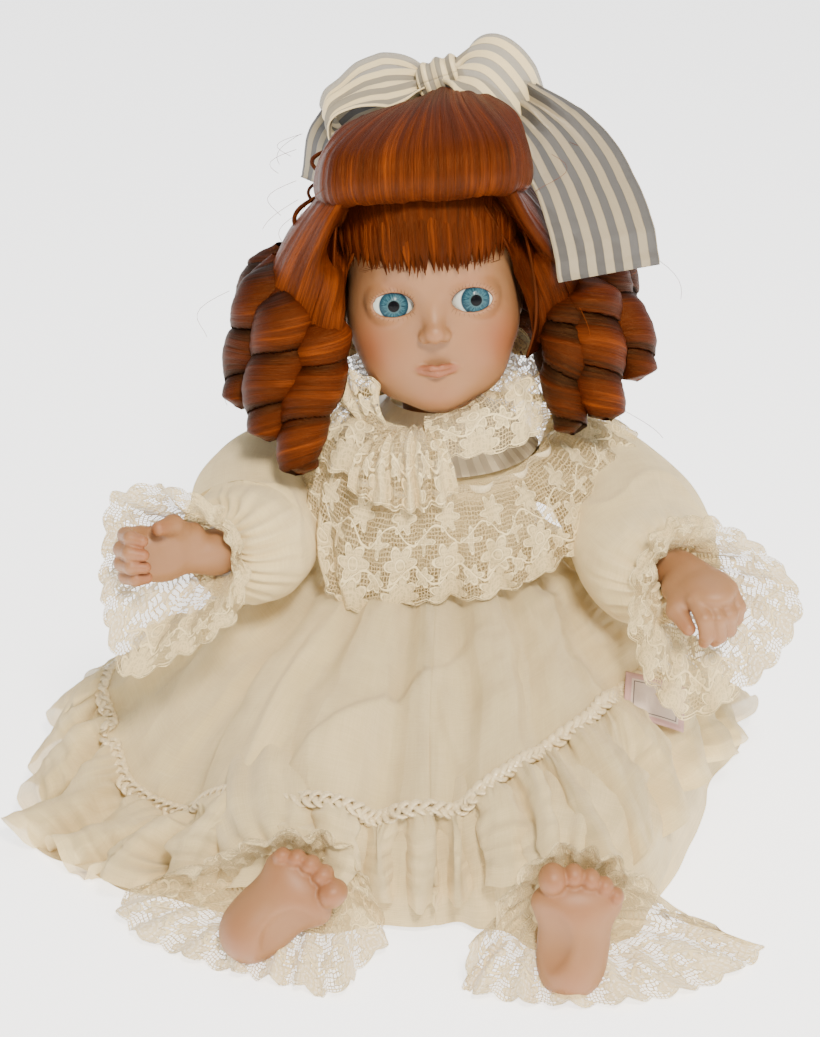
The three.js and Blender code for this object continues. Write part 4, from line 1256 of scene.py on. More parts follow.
def pleats(p, count, depth, seed, closed=False, top=0.25, grow=1.0, sharp=0.0, wrinkle=0.0):
    """The grid p with count soft uneven folds running down it, from top share of depth to all of it."""
    n, m = p.shape[:2]
    s = (np.arange(n) / n if closed else even(n))[:, None]
    t = even(m)[None]
    seam = np.sin(math.pi * s) ** 0.3 if closed else 1.0
    phase = count * s + seam * (0.55 * cloud(s * count * 0.45, t * 1.3, seed) + 0.25 * cloud(s * count,
        t * 3, seed + 1))
    size = 0.75 + 0.55 * seam * cloud(s * count * 0.35 + 9, t * 1.1, seed + 2)
    fold = np.sin(TAU * phase)
    fold = fold + sharp * (np.abs(fold) - 0.6)
    lift = depth * (top + (1 - top) * t**grow) * size * fold
    lift = lift + wrinkle * seam * cloud(s * count * 0.9, t * 7, seed + 3, 4)
    return p + normals(p, closed) * lift[..., None]


def lengths(p, axis):
    """Distance along one axis of a grid, measured on its middle line."""
    middle = p[:, p.shape[1] // 2] if axis == 0 else p[p.shape[0] // 2]
    return np.concatenate([[0], np.cumsum(np.linalg.norm(np.diff(middle, axis=0), axis=1))])


def cloth_uv(p, along=None, across=None, flip=False):
    """Millimetre UVs of a grid: x round it, y down it (or up from its edge, if flip)."""
    x = lengths(p, 0) if along is None else np.linspace(0, along, p.shape[0])
    y = lengths(p, 1) if across is None else np.linspace(0, across, p.shape[1])
    return np.stack(np.broadcast_arrays(x[:, None], (y[-1] - y if flip else y)[None]), -1)


def lace_uv(p, deep):
    """Millimetre UVs of a strip of lace: x along its free edge, which is the last row, and y up from it."""
    x = np.concatenate([[0], np.cumsum(np.linalg.norm(np.diff(p[:, -1], axis=0), axis=1))])
    return np.stack(np.broadcast_arrays(x[:, None], np.linspace(deep, 0, p.shape[1])[None]), -1)


def sheet_mesh(name, p, material, uv, closed=False):
    """A single skin of cloth. A closed one is cut along its seam so that its UVs don't wrap."""
    if closed:
        step = uv[1:2, :, 0] - uv[:1, :, 0]
        last = uv[:1].copy()
        last[..., 0] = uv[-1:, :, 0] + step
        p, uv = np.concatenate([p, p[:1]]), np.concatenate([uv, last])
    return mesh(name, p, grid_faces(*p.shape[:2]), material, uv)


def scalloped(p, uv, repeat=12.0, reach=2.4):
    """Pushes the free edge of a lace grid out into scallops; its UV y, 0 at the edge, goes with it."""
    x = uv[:, -1, 0]
    tip = reach * (np.abs(np.sin(math.pi * x / repeat)) - 0.6)
    share = ramp(even(p.shape[1]), 0.6, 1.0)
    down = unit(np.gradient(p, axis=1))
    p = p + down * (tip[:, None] * share)[..., None]
    return np.concatenate([p[..., :2], np.maximum(p[..., 2:], 0.4)], -1)


def dress(made, body, nodes=(), flat=None):
    if isinstance(body, str):
        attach(made, body)
    else:
        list(body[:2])
        [tuple(np.array(q) * MM) for q in body[2:]]
        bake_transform(made)
    if nodes:
        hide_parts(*nodes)
    return made


def grid_area(p):
    a, b, c, d = p[:-1, :-1], p[1:, :-1], p[1:, 1:], p[:-1, 1:]
    halves = np.linalg.norm(np.cross(b - a, c - a), axis=-1) + np.linalg.norm(np.cross(c - a, d - a), axis=-1)
    return float(halves.sum() / 2)


# Flat depths of the gathered sheets, from the gathered edge to the free one.
YOKE_DEEP, SLEEVE_DEEP, CUFF_DEEP, WIDE_LACE, PANTALOON_DEEP = 30, 95, 44, 52, 150
SKIRT_DEEP, PETTICOAT_DEEP, RUFFLE_DEEP = 105, 130, 45


def flat_size(p, deep):
    return grid_area(p) / deep, deep


# ---- body under the gown
def stuffed(name, field, low, high, body, node):
    made = sculpt(name, field, low, high, 1.6, stuffed_cotton, {"place": lambda p: p})
    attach(made, body)
    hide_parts(node)


def cotton_finish():
    def build(s):
        place = s.node("ShaderNodeAttribute", attribute_name="place").outputs["Vector"]
        weave = use(s, WEAVE, {"Place": place, "Threads per mm": 1.3})
        return {"Base Color": s.blend(weave["Shade"], (0.46, 0.36, 0.24, 1), (0.64, 0.54, 0.38, 1)),
                "Height": weave["Height"], "Depth": 0.0003}

    return finish_of("Stuffed cotton", {"Roughness": 0.9}, build)


stuffed_cotton = cotton_finish()
PUCKER = 0.7


def torso_field(p):
    d = ball(p, vec(0, 8, 62), vec(38, 28, 46))
    d = add(d, ball(p, vec(0, 6, 28), vec(42, 34, 26)), 14)
    seam = np.exp(-((p[..., 0] / 2.2) ** 2)) * PUCKER * (1 + 0.5 * np.sin(p[..., 2] * 1.3))
    return d + seam


def limb_field(a, b, ra, rb):
    def field(p):
        t = np.clip(((p - a) @ (b - a)) / ((b - a) @ (b - a)), 0, 1)
        pull = PUCKER * np.exp(-(((t - 0.5) / 0.05) ** 2)) * 1.5
        return bar(p, a, b, ra, rb) + pull + 0.25 * np.sin(t * 55 + 2 * np.sin(p[..., 0] * 0.5))

    return field


stuffed("Torso", torso_field, (-50, -40, 2), (50, 48, 112), "torso", "torso")
ARMS = {
    "left": {"shoulder": vec(58, 2, 128), "elbow": vec(76, -40, 110), "wrist": vec(103, -84, 116)},
    "right": {"shoulder": vec(-58, 2, 128), "elbow": vec(-72, -38, 112), "wrist": vec(-93, -72, 121)},
}
LEGS = {
    "left": {"hip": vec(27, -35, 25), "knee": vec(40, -110, 28), "ankle": vec(51, -186, 26),
        "sole": vec(52, -212, 27)},
    "right": {"hip": vec(-27, -35, 25), "knee": vec(-42, -100, 28), "ankle": vec(-57, -170, 26),
        "sole": vec(-62, -196, 27)},
}
for label in ("left", "right"):
    a, l = ARMS[label], LEGS[label]
    reach = mix(a["elbow"], a["wrist"], 0.25)
    low, high = np.minimum(a["shoulder"], reach) - 20, np.maximum(a["shoulder"], reach) + 20
    stuffed(f"Upper_arm_{label}", limb_field(a["shoulder"], reach, 14, 11), low, high, f"arm_{label}",
        f"upper_arm_{label}")
    low, high = np.minimum(l["hip"], l["knee"]) - 24, np.maximum(l["hip"], l["knee"]) + 24
    stuffed(f"Upper_leg_{label}", limb_field(l["hip"], l["knee"], 21, 18), low, high, f"leg_{label}",
        f"upper_leg_{label}")


# ---- porcelain hands and feet
def porcelain_limb(name, field, flush, low, high, body, node, step=0.6):
    values = {"blush": flush, "lip": lambda p: 0 * p[..., 0], "crease": lambda p: 0 * p[..., 0],
        "place": lambda p: p}
    made = sculpt(name, field, low, high, step, bisque, values)
    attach(made, body)
    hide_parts(node)


def chain(p, points, radii, soft=0.8):
    d = None
    for a, b, ra, rb in zip(points, points[1:], radii, radii[1:]):
        link = bar(p, a, b, ra, rb)
        d = link if d is None else add(d, link, soft)
    return d


def hand(label, knuckles, across, palm, fingers, thumb, spread):
    """knuckles is the middle of their row, across points to the thumb's side, palm out of the palm.
    fingers is how far each bends at its three joints, in degrees."""
    a = ARMS[label]
    wrist = a["wrist"]
    run = unit(knuckles - wrist)
    palm = unit(palm - run * (palm @ run))
    across = np.cross(palm, run) * np.sign(np.cross(palm, run) @ across)
    elbow = mix(a["elbow"], wrist, 0.45)
    tips = []
    chains = []
    for i, place in enumerate((0.92, 0.34, -0.26, -0.86)):
        base = knuckles + across * place * 8.6 - run * (0.6 + 1.6 * place * place)
        heading = unit(run + across * spread * place)
        length = (9.6, 10.6, 10.0, 8.2)[i]
        points, bend = [base - heading * 6], 0.0
        at = base
        for k in range(3):
            points.append(at)
            bend += math.radians(fingers[k] * (1 + 0.10 * i))
            at = at + (heading * math.cos(bend) + palm * math.sin(bend)) * length * (1.0, 0.72, 0.55)[k]
        points.append(at)
        chains.append((points, [3.6, 3.75, 3.4, 3.1, 2.5]))
        tips.append(at)
    root = mix(wrist, knuckles, 0.38) + across * 8 + palm * 1.5
    joint = root + unit(run * thumb[0] + across * thumb[1] + palm * thumb[2]) * 11
    tip = joint + unit(run * thumb[3] + across * thumb[4] + palm * thumb[5]) * 10

    def field(p):
        d = chain(p, [elbow, wrist - run * 2, wrist + run * 4], [10.5, 8.8, 9.0], 4)
        body = p - mix(wrist, knuckles, 0.66)
        flat = np.stack([body @ run, body @ across, body @ palm], -1)
        d = add(d, ball(flat, vec(0, 0, 0), vec(16.5, 12.2, 7.6)), 6)
        d = add(d, chain(p, [root - run * 3, root, joint, tip], [5.4, 5.0, 4.2, 3.0], 1.5), 3.5)
        d = cut(d, ball(flat, vec(2, -1, 9.6), vec(9, 7, 3.6)), 3)
        for points, radii in chains:
            finger = chain(p, points, radii)
            d = np.where(finger < d, finger, d) if d is None else add(d, finger, 1.0)
        return d

    def flush(p):
        near = [glow(p, q, vec(5.5, 5.5, 5.5)) for q in tips + [tip]]
        return np.clip(0.55 * sum(near), 0, 0.75)

    spread_points = np.array([elbow, wrist, knuckles, tip, joint] + [q for c in chains for q in c[0]])
    porcelain_limb(f"Hand_{label}", field, flush, spread_points.min(0) - 13, spread_points.max(0) + 13,
                   f"arm_{label}", f"forearm_{label}")


hand("right", vec(-123, -90, 129), vec(0.15, 0.2, 1), vec(-0.1, -0.9, 0.25), (28, 52, 50),
    (0.75, 0.45, 0.4, 0.95, -0.05, 0.5), 0.12)
hand("left", vec(113, -108, 119), vec(-0.9, 0, -0.2), vec(0.0, 0.25, -1.0), (38, 48, 40),
    (0.8, 0.55, 0.35, 0.9, 0.0, 0.5), 0.10)


def foot(label, toes_up, sole_out, length, width, turn):
    """A foot whose sole faces sole_out and whose toes point along toes_up."""
    l = LEGS[label]
    up = unit(toes_up - sole_out * (toes_up @ sole_out))
    side = np.cross(up, sole_out) * turn  # towards the big toe
    centre = l["sole"]
    basis = np.stack([side, up, sole_out], 0)
    toes = [(8.3, 21.6, 5.6), (0.6, 23.2, 4.1), (-5.6, 21.8, 3.8), (-10.9, 19.2, 3.5), (-15.2, 15.4, 3.2)]
    wide, tall = width / 34, length / 47

    def field(p):
        q = (p - centre) @ basis.T
        d = ball(q, vec(0, -14.0 * tall, -8), vec(12.4 * wide, 12.5 * tall, 13))
        d = add(d, ball(q, vec(-1 * wide, 0, -8.5), vec(13.5 * wide, 16 * tall, 11.5)), 8)
        d = add(d, ball(q, vec(-1.2 * wide, 11.5 * tall, -7), vec(17 * wide, 9.5 * tall, 9.5)), 6)
        d = cut(d, ball(q, vec(10.5 * wide, -2, 2.5), vec(8 * wide, 10 * tall, 4)), 5)
        for x, y, r in toes:
            toe = ball(q, vec(x * wide, y * tall, -2.8), vec(r * 0.98, r * 1.12, r * 1.25))
            d = add(d, add(toe, bar(q, vec(x * 0.9 * wide, (y - 7) * tall, -7),
                vec(x * wide, y * tall, -6), r * 0.8), 2), 0.9)
        ankle = (l["ankle"] - centre) @ basis.T
        knee = (mix(l["ankle"], l["knee"], 0.6) - centre) @ basis.T
        d = add(d, bar(q, ankle + vec(0, -4, -3), knee, 12.5, 14.5), 10)
        return np.maximum(d, 0.3 - p[..., 2])

    def flush(p):
        q = (p - centre) @ basis.T
        spots = [0.5 * glow(q, vec(x * wide, y * tall, 0), vec(r, r, r * 2)) for x, y, r in toes]
        spots += [0.35 * glow(q, vec(0, -17, 2), vec(9, 9, 8)), 0.3 * glow(q, vec(-1, 11, 2), vec(13, 7, 8))]
        return np.clip(sum(spots), 0, 0.8)

    low = np.minimum(centre, mix(l["ankle"], l["knee"], 0.6)) - 32
    high = np.maximum(centre, mix(l["ankle"], l["knee"], 0.6)) + 32
    porcelain_limb(f"Foot_{label}", field, flush, low, high, f"leg_{label}", f"lower_leg_{label}", 0.75)


foot("left", vec(0.03, 0.3, 1), unit(vec(0.02, -1, 0.32)), 47, 35, -1)
foot("right", vec(0.78, 0.2, 0.62), unit(vec(-0.1, -0.9, 0.42)), 47, 34, 1)


# ---- bodice, yoke and collar
def level_ring(z, x, y, centre=(0, 6), count=12):
    """A ring of points at height z, from the middle of the front round towards the doll's left."""
    turn = np.arange(count) / count * TAU
    return [(centre[0] + x * math.sin(a), centre[1] - y * math.cos(a), z) for a in turn]


def rings(*levels):
    """Guides down a closed piece from its rings of points, top first."""
    return [list(guide) for guide in zip(*levels)]


def bodice():
    levels = [level_ring(148, 34, 30), level_ring(138, 45, 38), level_ring(122, 47, 42),
        level_ring(106, 46, 44), level_ring(92, 47, 45)]
    p = pleats(drape(rings(*levels), 260, 40, True), 30, 0.9, 101, True, 0.3, 1.0, wrinkle=0.5)
    dress(sheet_mesh("Bodice", p, voile, cloth_uv(p), True), "torso", ["bodice"], (310, 62))


def yoke():
    levels = [level_ring(161, 20, 20, (1, 3)), level_ring(155, 27, 27, (1, 3)),
        level_ring(149, 37, 36, (0, 4)), level_ring(139, 47, 43)]
    p = drape(rings(*levels), 200, 30, True)
    p = pleats(p, 9, 0.5, 102, True, wrinkle=0.25)
    uv = cloth_uv(p)
    dress(sheet_mesh("Yoke", p, yoke_satin, uv[..., ::-1], True), "torso", (),
        flat_size(p, YOKE_DEEP))


bodice()
yoke()

# The wide lace collar: inner seam and free edge, from the back centre round by the doll's right.
COLLAR = [
    # seam, free edge
    ((-6, 42, 148), (-10, 60, 106)),
    ((-26, 38, 150), (-42, 54, 112)),
    ((-42, 28, 153), (-64, 38, 128)),
    ((-50, 14, 155), (-70, 16, 140)),
    ((-52, 0, 155), (-62, -6, 138)),
    ((-49, -14, 153), (-56, -24, 132)),
    ((-45, -27, 149), (-52, -42, 118)),
    ((-38, -38, 146), (-47, -54, 101)),
    ((-26, -45, 143), (-37, -62, 89)),
    ((-12, -49, 141), (-18, -65, 91)),
    ((2, -49, 141), (3, -65, 95)),
    ((16, -48, 142), (20, -65, 96)),
    ((28, -45, 144), (38, -63, 101)),
    ((38, -39, 147), (54, -57, 108)),
    ((46, -30, 151), (69, -46, 116)),
    ((51, -18, 154), (84, -33, 127)),
    ((53, -4, 156), (92, -17, 136)),
    ((52, 10, 156), (88, 4, 143)),
    ((46, 24, 154), (78, 26, 138)),
    ((32, 35, 151), (56, 48, 120)),
    ((14, 41, 148), (24, 58, 108)),
]


def collar():
    guides = []
    for seam, edge in COLLAR:
        seam, edge = vec(*seam), vec(*edge)
        out = unit((edge - seam) * vec(1, 1, 0) + vec(seam[0], seam[1] - 6, 0) * 0.25)
        guides.append([seam, mix(seam, edge, 0.33) + out * 5 + vec(0, 0, 2),
            mix(seam, edge, 0.68) + out * 4.5 + vec(0, 0, 1), edge])
    p = pleats(drape(guides, 760, 56, True), 23, 2.6, 111, True, 0.35, 0.8, 0.1, 0.8)
    uv = lace_uv(p, 52)
    p = scalloped(p, uv)
    made = sheet_mesh("Lace_collar", p, lace_cloth, uv, True)
    dress(made, "torso", ["collar_bertha"], flat_size(p, WIDE_LACE))


def collar_ribbon():
    """A narrow satin ribbon threaded in and out of the collar's seam."""
    seam = [vec(*s) for s, _ in COLLAR]
    middle = curve(np.array(seam), even(900), True)
    out = unit((middle - vec(0, 6, 0)) * vec(1, 1, 0))
    run = np.concatenate([[0], np.cumsum(np.linalg.norm(np.diff(middle, axis=0), axis=1))])
    weave = np.sin(run * TAU / 17)
    spine = middle + out * (1.6 + 2.2 * weave)[:, None] + vec(0, 0, -2.2)
    s = np.linspace(-1, 1, 7)
    bow = out * (1 - s[:, None, None] ** 2) * 0.6
    p = np.swapaxes(spine[None] + s[:, None, None] * 1.9 * vec(0, 0, 1) + bow, 0, 1)
    uv = np.stack(np.broadcast_arrays(run[:, None], (s * 1.9 + 1.9)[None]), -1)
    made = cloth("Collar_ribbon", p, narrow_satin, uv, 0.25)
    dress(made, "torso", ["collar_ribbon"])


def satin_finish(name, light, dark):
    def build(s):
        place = s.uv()
        ribs = s.math("SINE", s.times(s.apart(place)[0], 9.0))
        # Painted sheen: the colour goes from dark to light in soft bands along the satin.
        painted_sheen = s.noise(s.scaled(place, 0.25, 1.6), 1.0, 2.0)
        return {"Base Color": s.blend(painted_sheen, (*dark, 1), (*light, 1)), "Height": s.fit(ribs, 0.2, painted_sheen),
                "Depth": 0.0003}

    return finish_of(name,
        {"Roughness": 0.3, "Anisotropic": 0.5, "Specular IOR Level": 0.7, "Sheen Weight": 0.2}, build)


narrow_satin = satin_finish("Cream satin", (0.84, 0.69, 0.40), (0.60, 0.47, 0.25))
collar()
collar_ribbon()


def neck_lace():
    """Gathered lace round the neck: a wing standing at the doll's right, one folded down at its left, a jabot
    between them, and a standing frill behind."""
    pieces = []
    standing = [
        [(-16, -39, 160), (-20, -42, 167), (-23, -42, 175), (-22, -38, 183)],
        [(-20, -37, 158), (-26, -40, 166), (-31, -39, 176), (-31, -33, 186)],
        [(-25, -32, 156), (-33, -34, 166), (-39, -32, 176), (-41, -25, 186)],
        [(-28, -24, 156), (-37, -24, 167), (-43, -21, 177), (-46, -12, 186)],
        [(-29, -10, 157), (-38, -9, 168), (-44, -5, 178), (-47, 2, 185)],
        [(-25, 8, 158), (-33, 12, 169), (-38, 16, 178), (-42, 21, 184)],
        [(-12, 20, 159), (-16, 26, 169), (-18, 32, 178), (-20, 38, 183)],
        [(6, 22, 159), (7, 28, 169), (8, 34, 178), (9, 40, 183)],
        [(22, 14, 159), (29, 19, 169), (34, 24, 178), (38, 29, 183)],
        [(29, 0, 158), (38, 2, 167), (44, 4, 175), (49, 6, 180)],
        [(29, -14, 158), (38, -16, 166), (44, -18, 174), (48, -19, 181)],
    ]
    p = pleats(drape(standing, 420, 40), 15, 2.0, 121, False, 0.2, 1.0, 0.1, 0.6)
    pieces.append((p, 34))
    folded = [
        [(-4, -41, 170), (-4, -47, 168), (-3, -50.5, 163), (-2, -51.5, 154)],
        [(6, -41, 172), (6, -47, 171), (8, -51, 165), (9, -52, 155)],
        [(15, -38, 174), (16, -45, 174), (19, -50, 167), (20, -51, 156)],
        [(22, -33, 177), (25, -41, 178), (29, -47, 170), (30, -48, 157)],
        [(27, -27, 180), (33, -35, 182), (38, -41, 173), (39, -43, 159)],
        [(29, -20, 180), (39, -26, 184), (46, -31, 175), (46, -35, 161)],
    ]
    p = pleats(drape(folded, 200, 40), 6, 1.0, 122, False, 0.3, 1.0, 0.0, 0.7)
    pieces.append((p, 36))
    jabot = [
        [(-18, -39, 160), (-28, -46, 160), (-34, -51, 152), (-36, -55, 142)],
        [(-14, -41, 164), (-21, -50, 163), (-26, -56, 153), (-27, -60, 139)],
        [(-11, -42, 165), (-15, -52, 164), (-17, -59, 153), (-17, -62, 136)],
        [(-7, -42, 166), (-8, -53, 165), (-8, -60, 153), (-7, -63, 136)],
        [(-4, -42, 166), (-2, -52, 165), (0, -58, 154), (2, -61, 137)],
        [(-2, -42, 166), (3, -49, 164), (8, -54, 153), (10, -56, 141)],
    ]
    p = pleats(drape(jabot, 300, 44), 7, 2.3, 123, False, 0.3, 0.8, 0.1, 0.6)
    pieces.append((p, 36))
    lapel = [
        [(-12, -40, 165), (-14, -46, 163), (-15, -50, 156), (-16, -52, 147)],
        [(-20, -37, 166), (-25, -43, 164), (-28, -48, 156), (-30, -50, 146)],
        [(-27, -29, 168), (-35, -36, 166), (-40, -42, 158), (-43, -45, 146)],
        [(-30, -19, 168), (-40, -26, 168), (-47, -32, 160), (-50, -35, 149)],
    ]
    p = pleats(drape(lapel, 160, 36), 4, 1.0, 124, False, 0.3, 1.0, 0.0, 0.6)
    pieces.append((p, 30))
    for name, (p, deep) in zip(("Neck_frill", "Neck_lapel_left", "Jabot", "Neck_lapel_right"), pieces):
        uv = lace_uv(p, deep)
        p = scalloped(p, uv, 12, 1.8)
        made = sheet_mesh(name, p, lace_cloth, uv)
        nodes = ["neck_ruffle"] if name == "Neck_frill" else []
        dress(made, "torso", nodes, flat_size(p, deep))


neck_lace()


# ---- sleeves and cuffs
def swept(path, sizes, n, m, up=vec(0, 0, 1)):
    """A closed grid round path. sizes are (along, side radius, upward radius)."""
    t = even(m)
    spine = curve(path, t)
    run = unit(np.gradient(spine, axis=0))
    side = unit(np.cross(run, up))
    lift = np.cross(side, run)
    where = np.array([s[0] for s in sizes])
    wide = curve(np.array([s[1:] for s in sizes]), np.interp(t, where, even(len(where))))
    angle = np.arange(n) / n * TAU - math.pi / 2
    ring = side[None] * (np.cos(angle)[:, None] * wide[None, :, 0])[..., None]
    ring = ring + lift[None] * (np.sin(angle)[:, None] * wide[None, :, 1])[..., None]
    return spine[None] + ring


def sleeve(label, path, sizes, seed):
    p = swept(path, sizes, 260, 110)
    n, m = p.shape[:2]
    s, t = np.arange(n)[:, None] / n, even(m)[None]
    gather = 1.5 * ramp(t, 0.35, 0.0) + 2.1 * ramp(t, 0.62, 0.97)
    seam = np.sin(math.pi * s) ** 0.4
    fine = np.sin(TAU * (24 * s + seam * 0.7 * cloud(s * 12, t * 2, seed)))
    broad = 2.2 * seam * cloud(s * 5, t * 3.2 + 0.6 * cloud(s * 3, t * 2, seed + 1), seed + 2,
        2) * np.sin(math.pi * t) ** 0.6
    crease = -1.3 * seam * np.maximum(0,
        1 - np.abs(cloud(s * 4, t * 2.4, seed + 3, 2)) * 7) * np.sin(math.pi * t)
    p = p + normals(p, True) * (gather * fine * 0.55 + broad + crease)[..., None]
    made = sheet_mesh(f"Sleeve_{label}", p, voile, cloth_uv(p), True)
    side = 1 if label == "left" else -1
    start, end = (side * 50, 0, 133), (side * 74, -24, 119)
    dress(made, ("torso", f"arm_{label}", start, end), [f"sleeve_{label}"],
        flat_size(p, SLEEVE_DEEP))


sleeve("left", [(48, 6, 131), (70, 0, 126), (86, -24, 117), (91, -52, 110), (97, -74, 112), (101, -80, 115)],
       [(0, 17, 19), (0.22, 27, 23), (0.5, 31, 26), (0.75, 28, 24), (0.92, 17, 15), (1, 11.5, 11.5)], 131)
sleeve("right", [(-44, 6, 130), (-64, 0, 126), (-76, -20, 120), (-78, -42, 114), (-84, -60, 117),
    (-90, -68, 120)],
       [(0, 17, 19), (0.22, 27, 23), (0.5, 30, 27), (0.75, 27, 25), (0.92, 17, 15), (1, 11.5, 11.5)], 132)


def flare(name, ring, rim, deep, count, seed, depth=3.0, bell=0.5, lift=(0, 0, 0), m=44, n=520):
    """Lace gathered on ring and flaring to rim, both lists of points in step round it."""
    guides = []
    for a, b in zip(ring, rim):
        a, b = vec(*a), vec(*b)
        out = vec(*lift)
        guides.append([a, mix(a, b, 0.3) + out * bell * 0.8, mix(a, b, 0.65) + out * bell, b])
    p = pleats(drape(guides, n, m, True), count, depth, seed, True, 0.25, 0.9, 0.1, 0.5)
    uv = lace_uv(p, deep)
    p = scalloped(p, uv)
    return p, sheet_mesh(name, p, lace_cloth, uv, True)


def ring_round(centre, axis, radius, first, count):
    """count points round axis, starting towards first."""
    axis = unit(vec(*axis))
    a = unit(vec(*first) - axis * (vec(*first) @ axis))
    b = np.cross(axis, a)
    turn = np.arange(count) / count * TAU
    return [tuple(vec(*centre) + radius * (a * math.cos(k) + b * math.sin(k))) for k in turn]


CUFFS = {
    # wrist, direction of the arm, rim points in turn from above, then the same way round as the ring
    "right": ((-91, -70, 121), (-0.52, -0.83, 0.17), [
        (-110, -84, 157), (-95, -82, 151), (-84, -76, 138), (-78, -78, 120), (-80, -90, 103), (-92, -99, 94),
        (-107, -103, 87), (-127, -104, 79), (-134, -99, 96), (-137, -92, 113), (-136, -86, 131), (-131,
            -82, 152),
    ]),
    "left": ((101, -81, 116), (0.42, -0.85, 0.2), [
        (110, -84, 143), (97, -84, 142), (86, -85, 130), (80, -94, 112), (82, -103, 92), (90, -110, 76),
        (104, -114, 65), (125, -111, 75), (143, -106, 93), (150, -97, 111), (140, -90, 126), (124, -87, 138),
    ]),
}
for label, (centre, axis, rim) in CUFFS.items():
    ring = ring_round(centre, axis, 10.8, (0, 0, 1), len(rim))
    away = unit(vec(*axis))
    handed = np.cross(vec(*ring[0]) - centre, vec(*ring[1]) - centre) @ away
    turning = np.cross(vec(*rim[0]) - centre, vec(*rim[1]) - centre) @ away
    if handed * turning < 0:
        ring = ring[:1] + ring[:0:-1]
    p, made = flare(f"Cuff_{label}", ring, rim, 44, 12, 141 if label == "left" else 142, 2.6, 6, tuple(away))
    dress(made, f"arm_{label}", [f"cuff_{label}"], flat_size(p, CUFF_DEEP))


# ---- skirt, petticoat and ruffle
# From the middle of the front round towards the doll's left: waist, two points down, braid, ruffle's edge.
SKIRT = [
    ((2, -43, 99), (0, -78, 86), (-2, -118, 66), (-2, -157, 47), (0, -172, 9)),
    ((14, -42, 99), (16, -76, 88), (18, -115, 71), (16, -155, 52), (20, -174, 17)),
    ((24, -38, 99), (30, -70, 90), (34, -104, 76), (35, -138, 58), (45, -193, 38)),
    ((33, -33, 99), (44, -62, 90), (50, -92, 76), (54, -121, 61), (72, -188, 41)),
    ((40, -25, 99), (54, -47, 90), (64, -73, 76), (72, -98, 62), (92, -164, 38)),
    ((45, -15, 99), (63, -30, 88), (79, -50, 76), (92, -72, 62), (112, -104, 28)),
    ((47, -4, 99), (67, -12, 84), (88, -26, 66), (108, -40, 46), (130, -58, 12)),
    ((48, 8, 99), (68, 8, 80), (90, 4, 56), (114, -4, 28), (146, -10, 4)),
    ((44, 22, 99), (62, 28, 78), (84, 36, 50), (104, 42, 20), (130, 48, 3)),
    ((32, 36, 99), (46, 46, 78), (62, 60, 48), (78, 72, 18), (96, 90, 3)),
    ((12, 44, 99), (18, 56, 78), (26, 70, 48), (32, 82, 18), (38, 106, 3)),
    ((-10, 44, 99), (-16, 56, 78), (-24, 70, 48), (-30, 82, 18), (-36, 106, 3)),
    ((-30, 37, 99), (-46, 47, 78), (-64, 60, 48), (-80, 70, 18), (-98, 90, 3)),
    ((-42, 25, 99), (-62, 32, 78), (-88, 38, 50), (-110, 40, 22), (-140, 50, 3)),
    ((-47, 10, 99), (-70, 10, 82), (-100, 6, 56), (-132, 0, 30), (-166, -4, 3)),
    ((-48, -3, 99), (-72, -10, 84), (-108, -24, 62), (-144, -36, 40), (-168, -46, 6)),
    ((-46, -15, 99), (-70, -28, 84), (-108, -45, 58), (-144, -62, 34), (-176, -82, 4)),
    ((-42, -25, 99), (-64, -44, 82), (-98, -68, 48), (-130, -88, 15), (-174, -112, 3)),
    ((-35, -33, 99), (-54, -58, 84), (-80, -86, 56), (-104, -116, 20), (-138, -144, 3)),
    ((-25, -39, 99), (-40, -68, 87), (-60, -102, 68), (-80, -138, 42), (-104, -156, 4)),
    ((-14, -42, 99), (-26, -76, 89), (-38, -114, 73), (-48, -158, 51), (-58, -176, 22)),
    ((-5, -43, 99), (-10, -78, 87), (-16, -118, 68), (-20, -159, 47), (-24, -174, 10)),
]


def on_legs(p, lift):
    """Raises points that would lie inside a leg to just above it."""
    for label in ("left", "right"):
        l = LEGS[label]
        for a, b, size in ((l["hip"], l["knee"], 25), (l["knee"], l["ankle"], 22)):
            t = np.clip(((p - a) @ (b - a)) / ((b - a) @ (b - a)), 0, 1)
            near = p - a - t[..., None] * (b - a)
            flat = np.abs(near[..., 0])
            over = np.sqrt(np.clip((size + lift) ** 2 - flat**2, 0, None))
            need = a[2] + t * (b[2] - a[2]) + over
            inside = (flat < size + lift) & (t > 0.001) & (t < 0.999) & (p[..., 2] < need) & (p[..., 2] > 12)
            p = np.concatenate([p[..., :2], np.where(inside, need, p[..., 2])[..., None]], -1)
    return p


def above_floor(p, least):
    z = p[..., 2]
    return np.concatenate([p[..., :2], (least + np.logaddexp(0, (z - least) / 1.5) * 1.5)[..., None]], -1)


def in_halves(name, p, material, uv, node, flat):
    """A closed piece that crosses both hips, as a left and a right half."""
    n = len(p)
    middle = n // 2
    halves = {"left": slice(0, middle + 1), "right": slice(middle, n + 1)}
    p = np.concatenate([p, p[:1]])
    step = uv[1:2, :, 0] - uv[:1, :, 0]
    last = uv[:1].copy()
    last[..., 0] = uv[-1:, :, 0] + step
    uv = np.concatenate([uv, last])
    for label, part in halves.items():
        side = 1 if label == "left" else -1
        made = mesh(f"{name}_{label}", p[part], grid_faces(*p[part].shape[:2]), material, uv[part])
        start, end = (0, 0, 0), (side * 46, -128, 0)
        dress(made, ("torso", f"leg_{label}", start, end), [node], flat(p[part]))


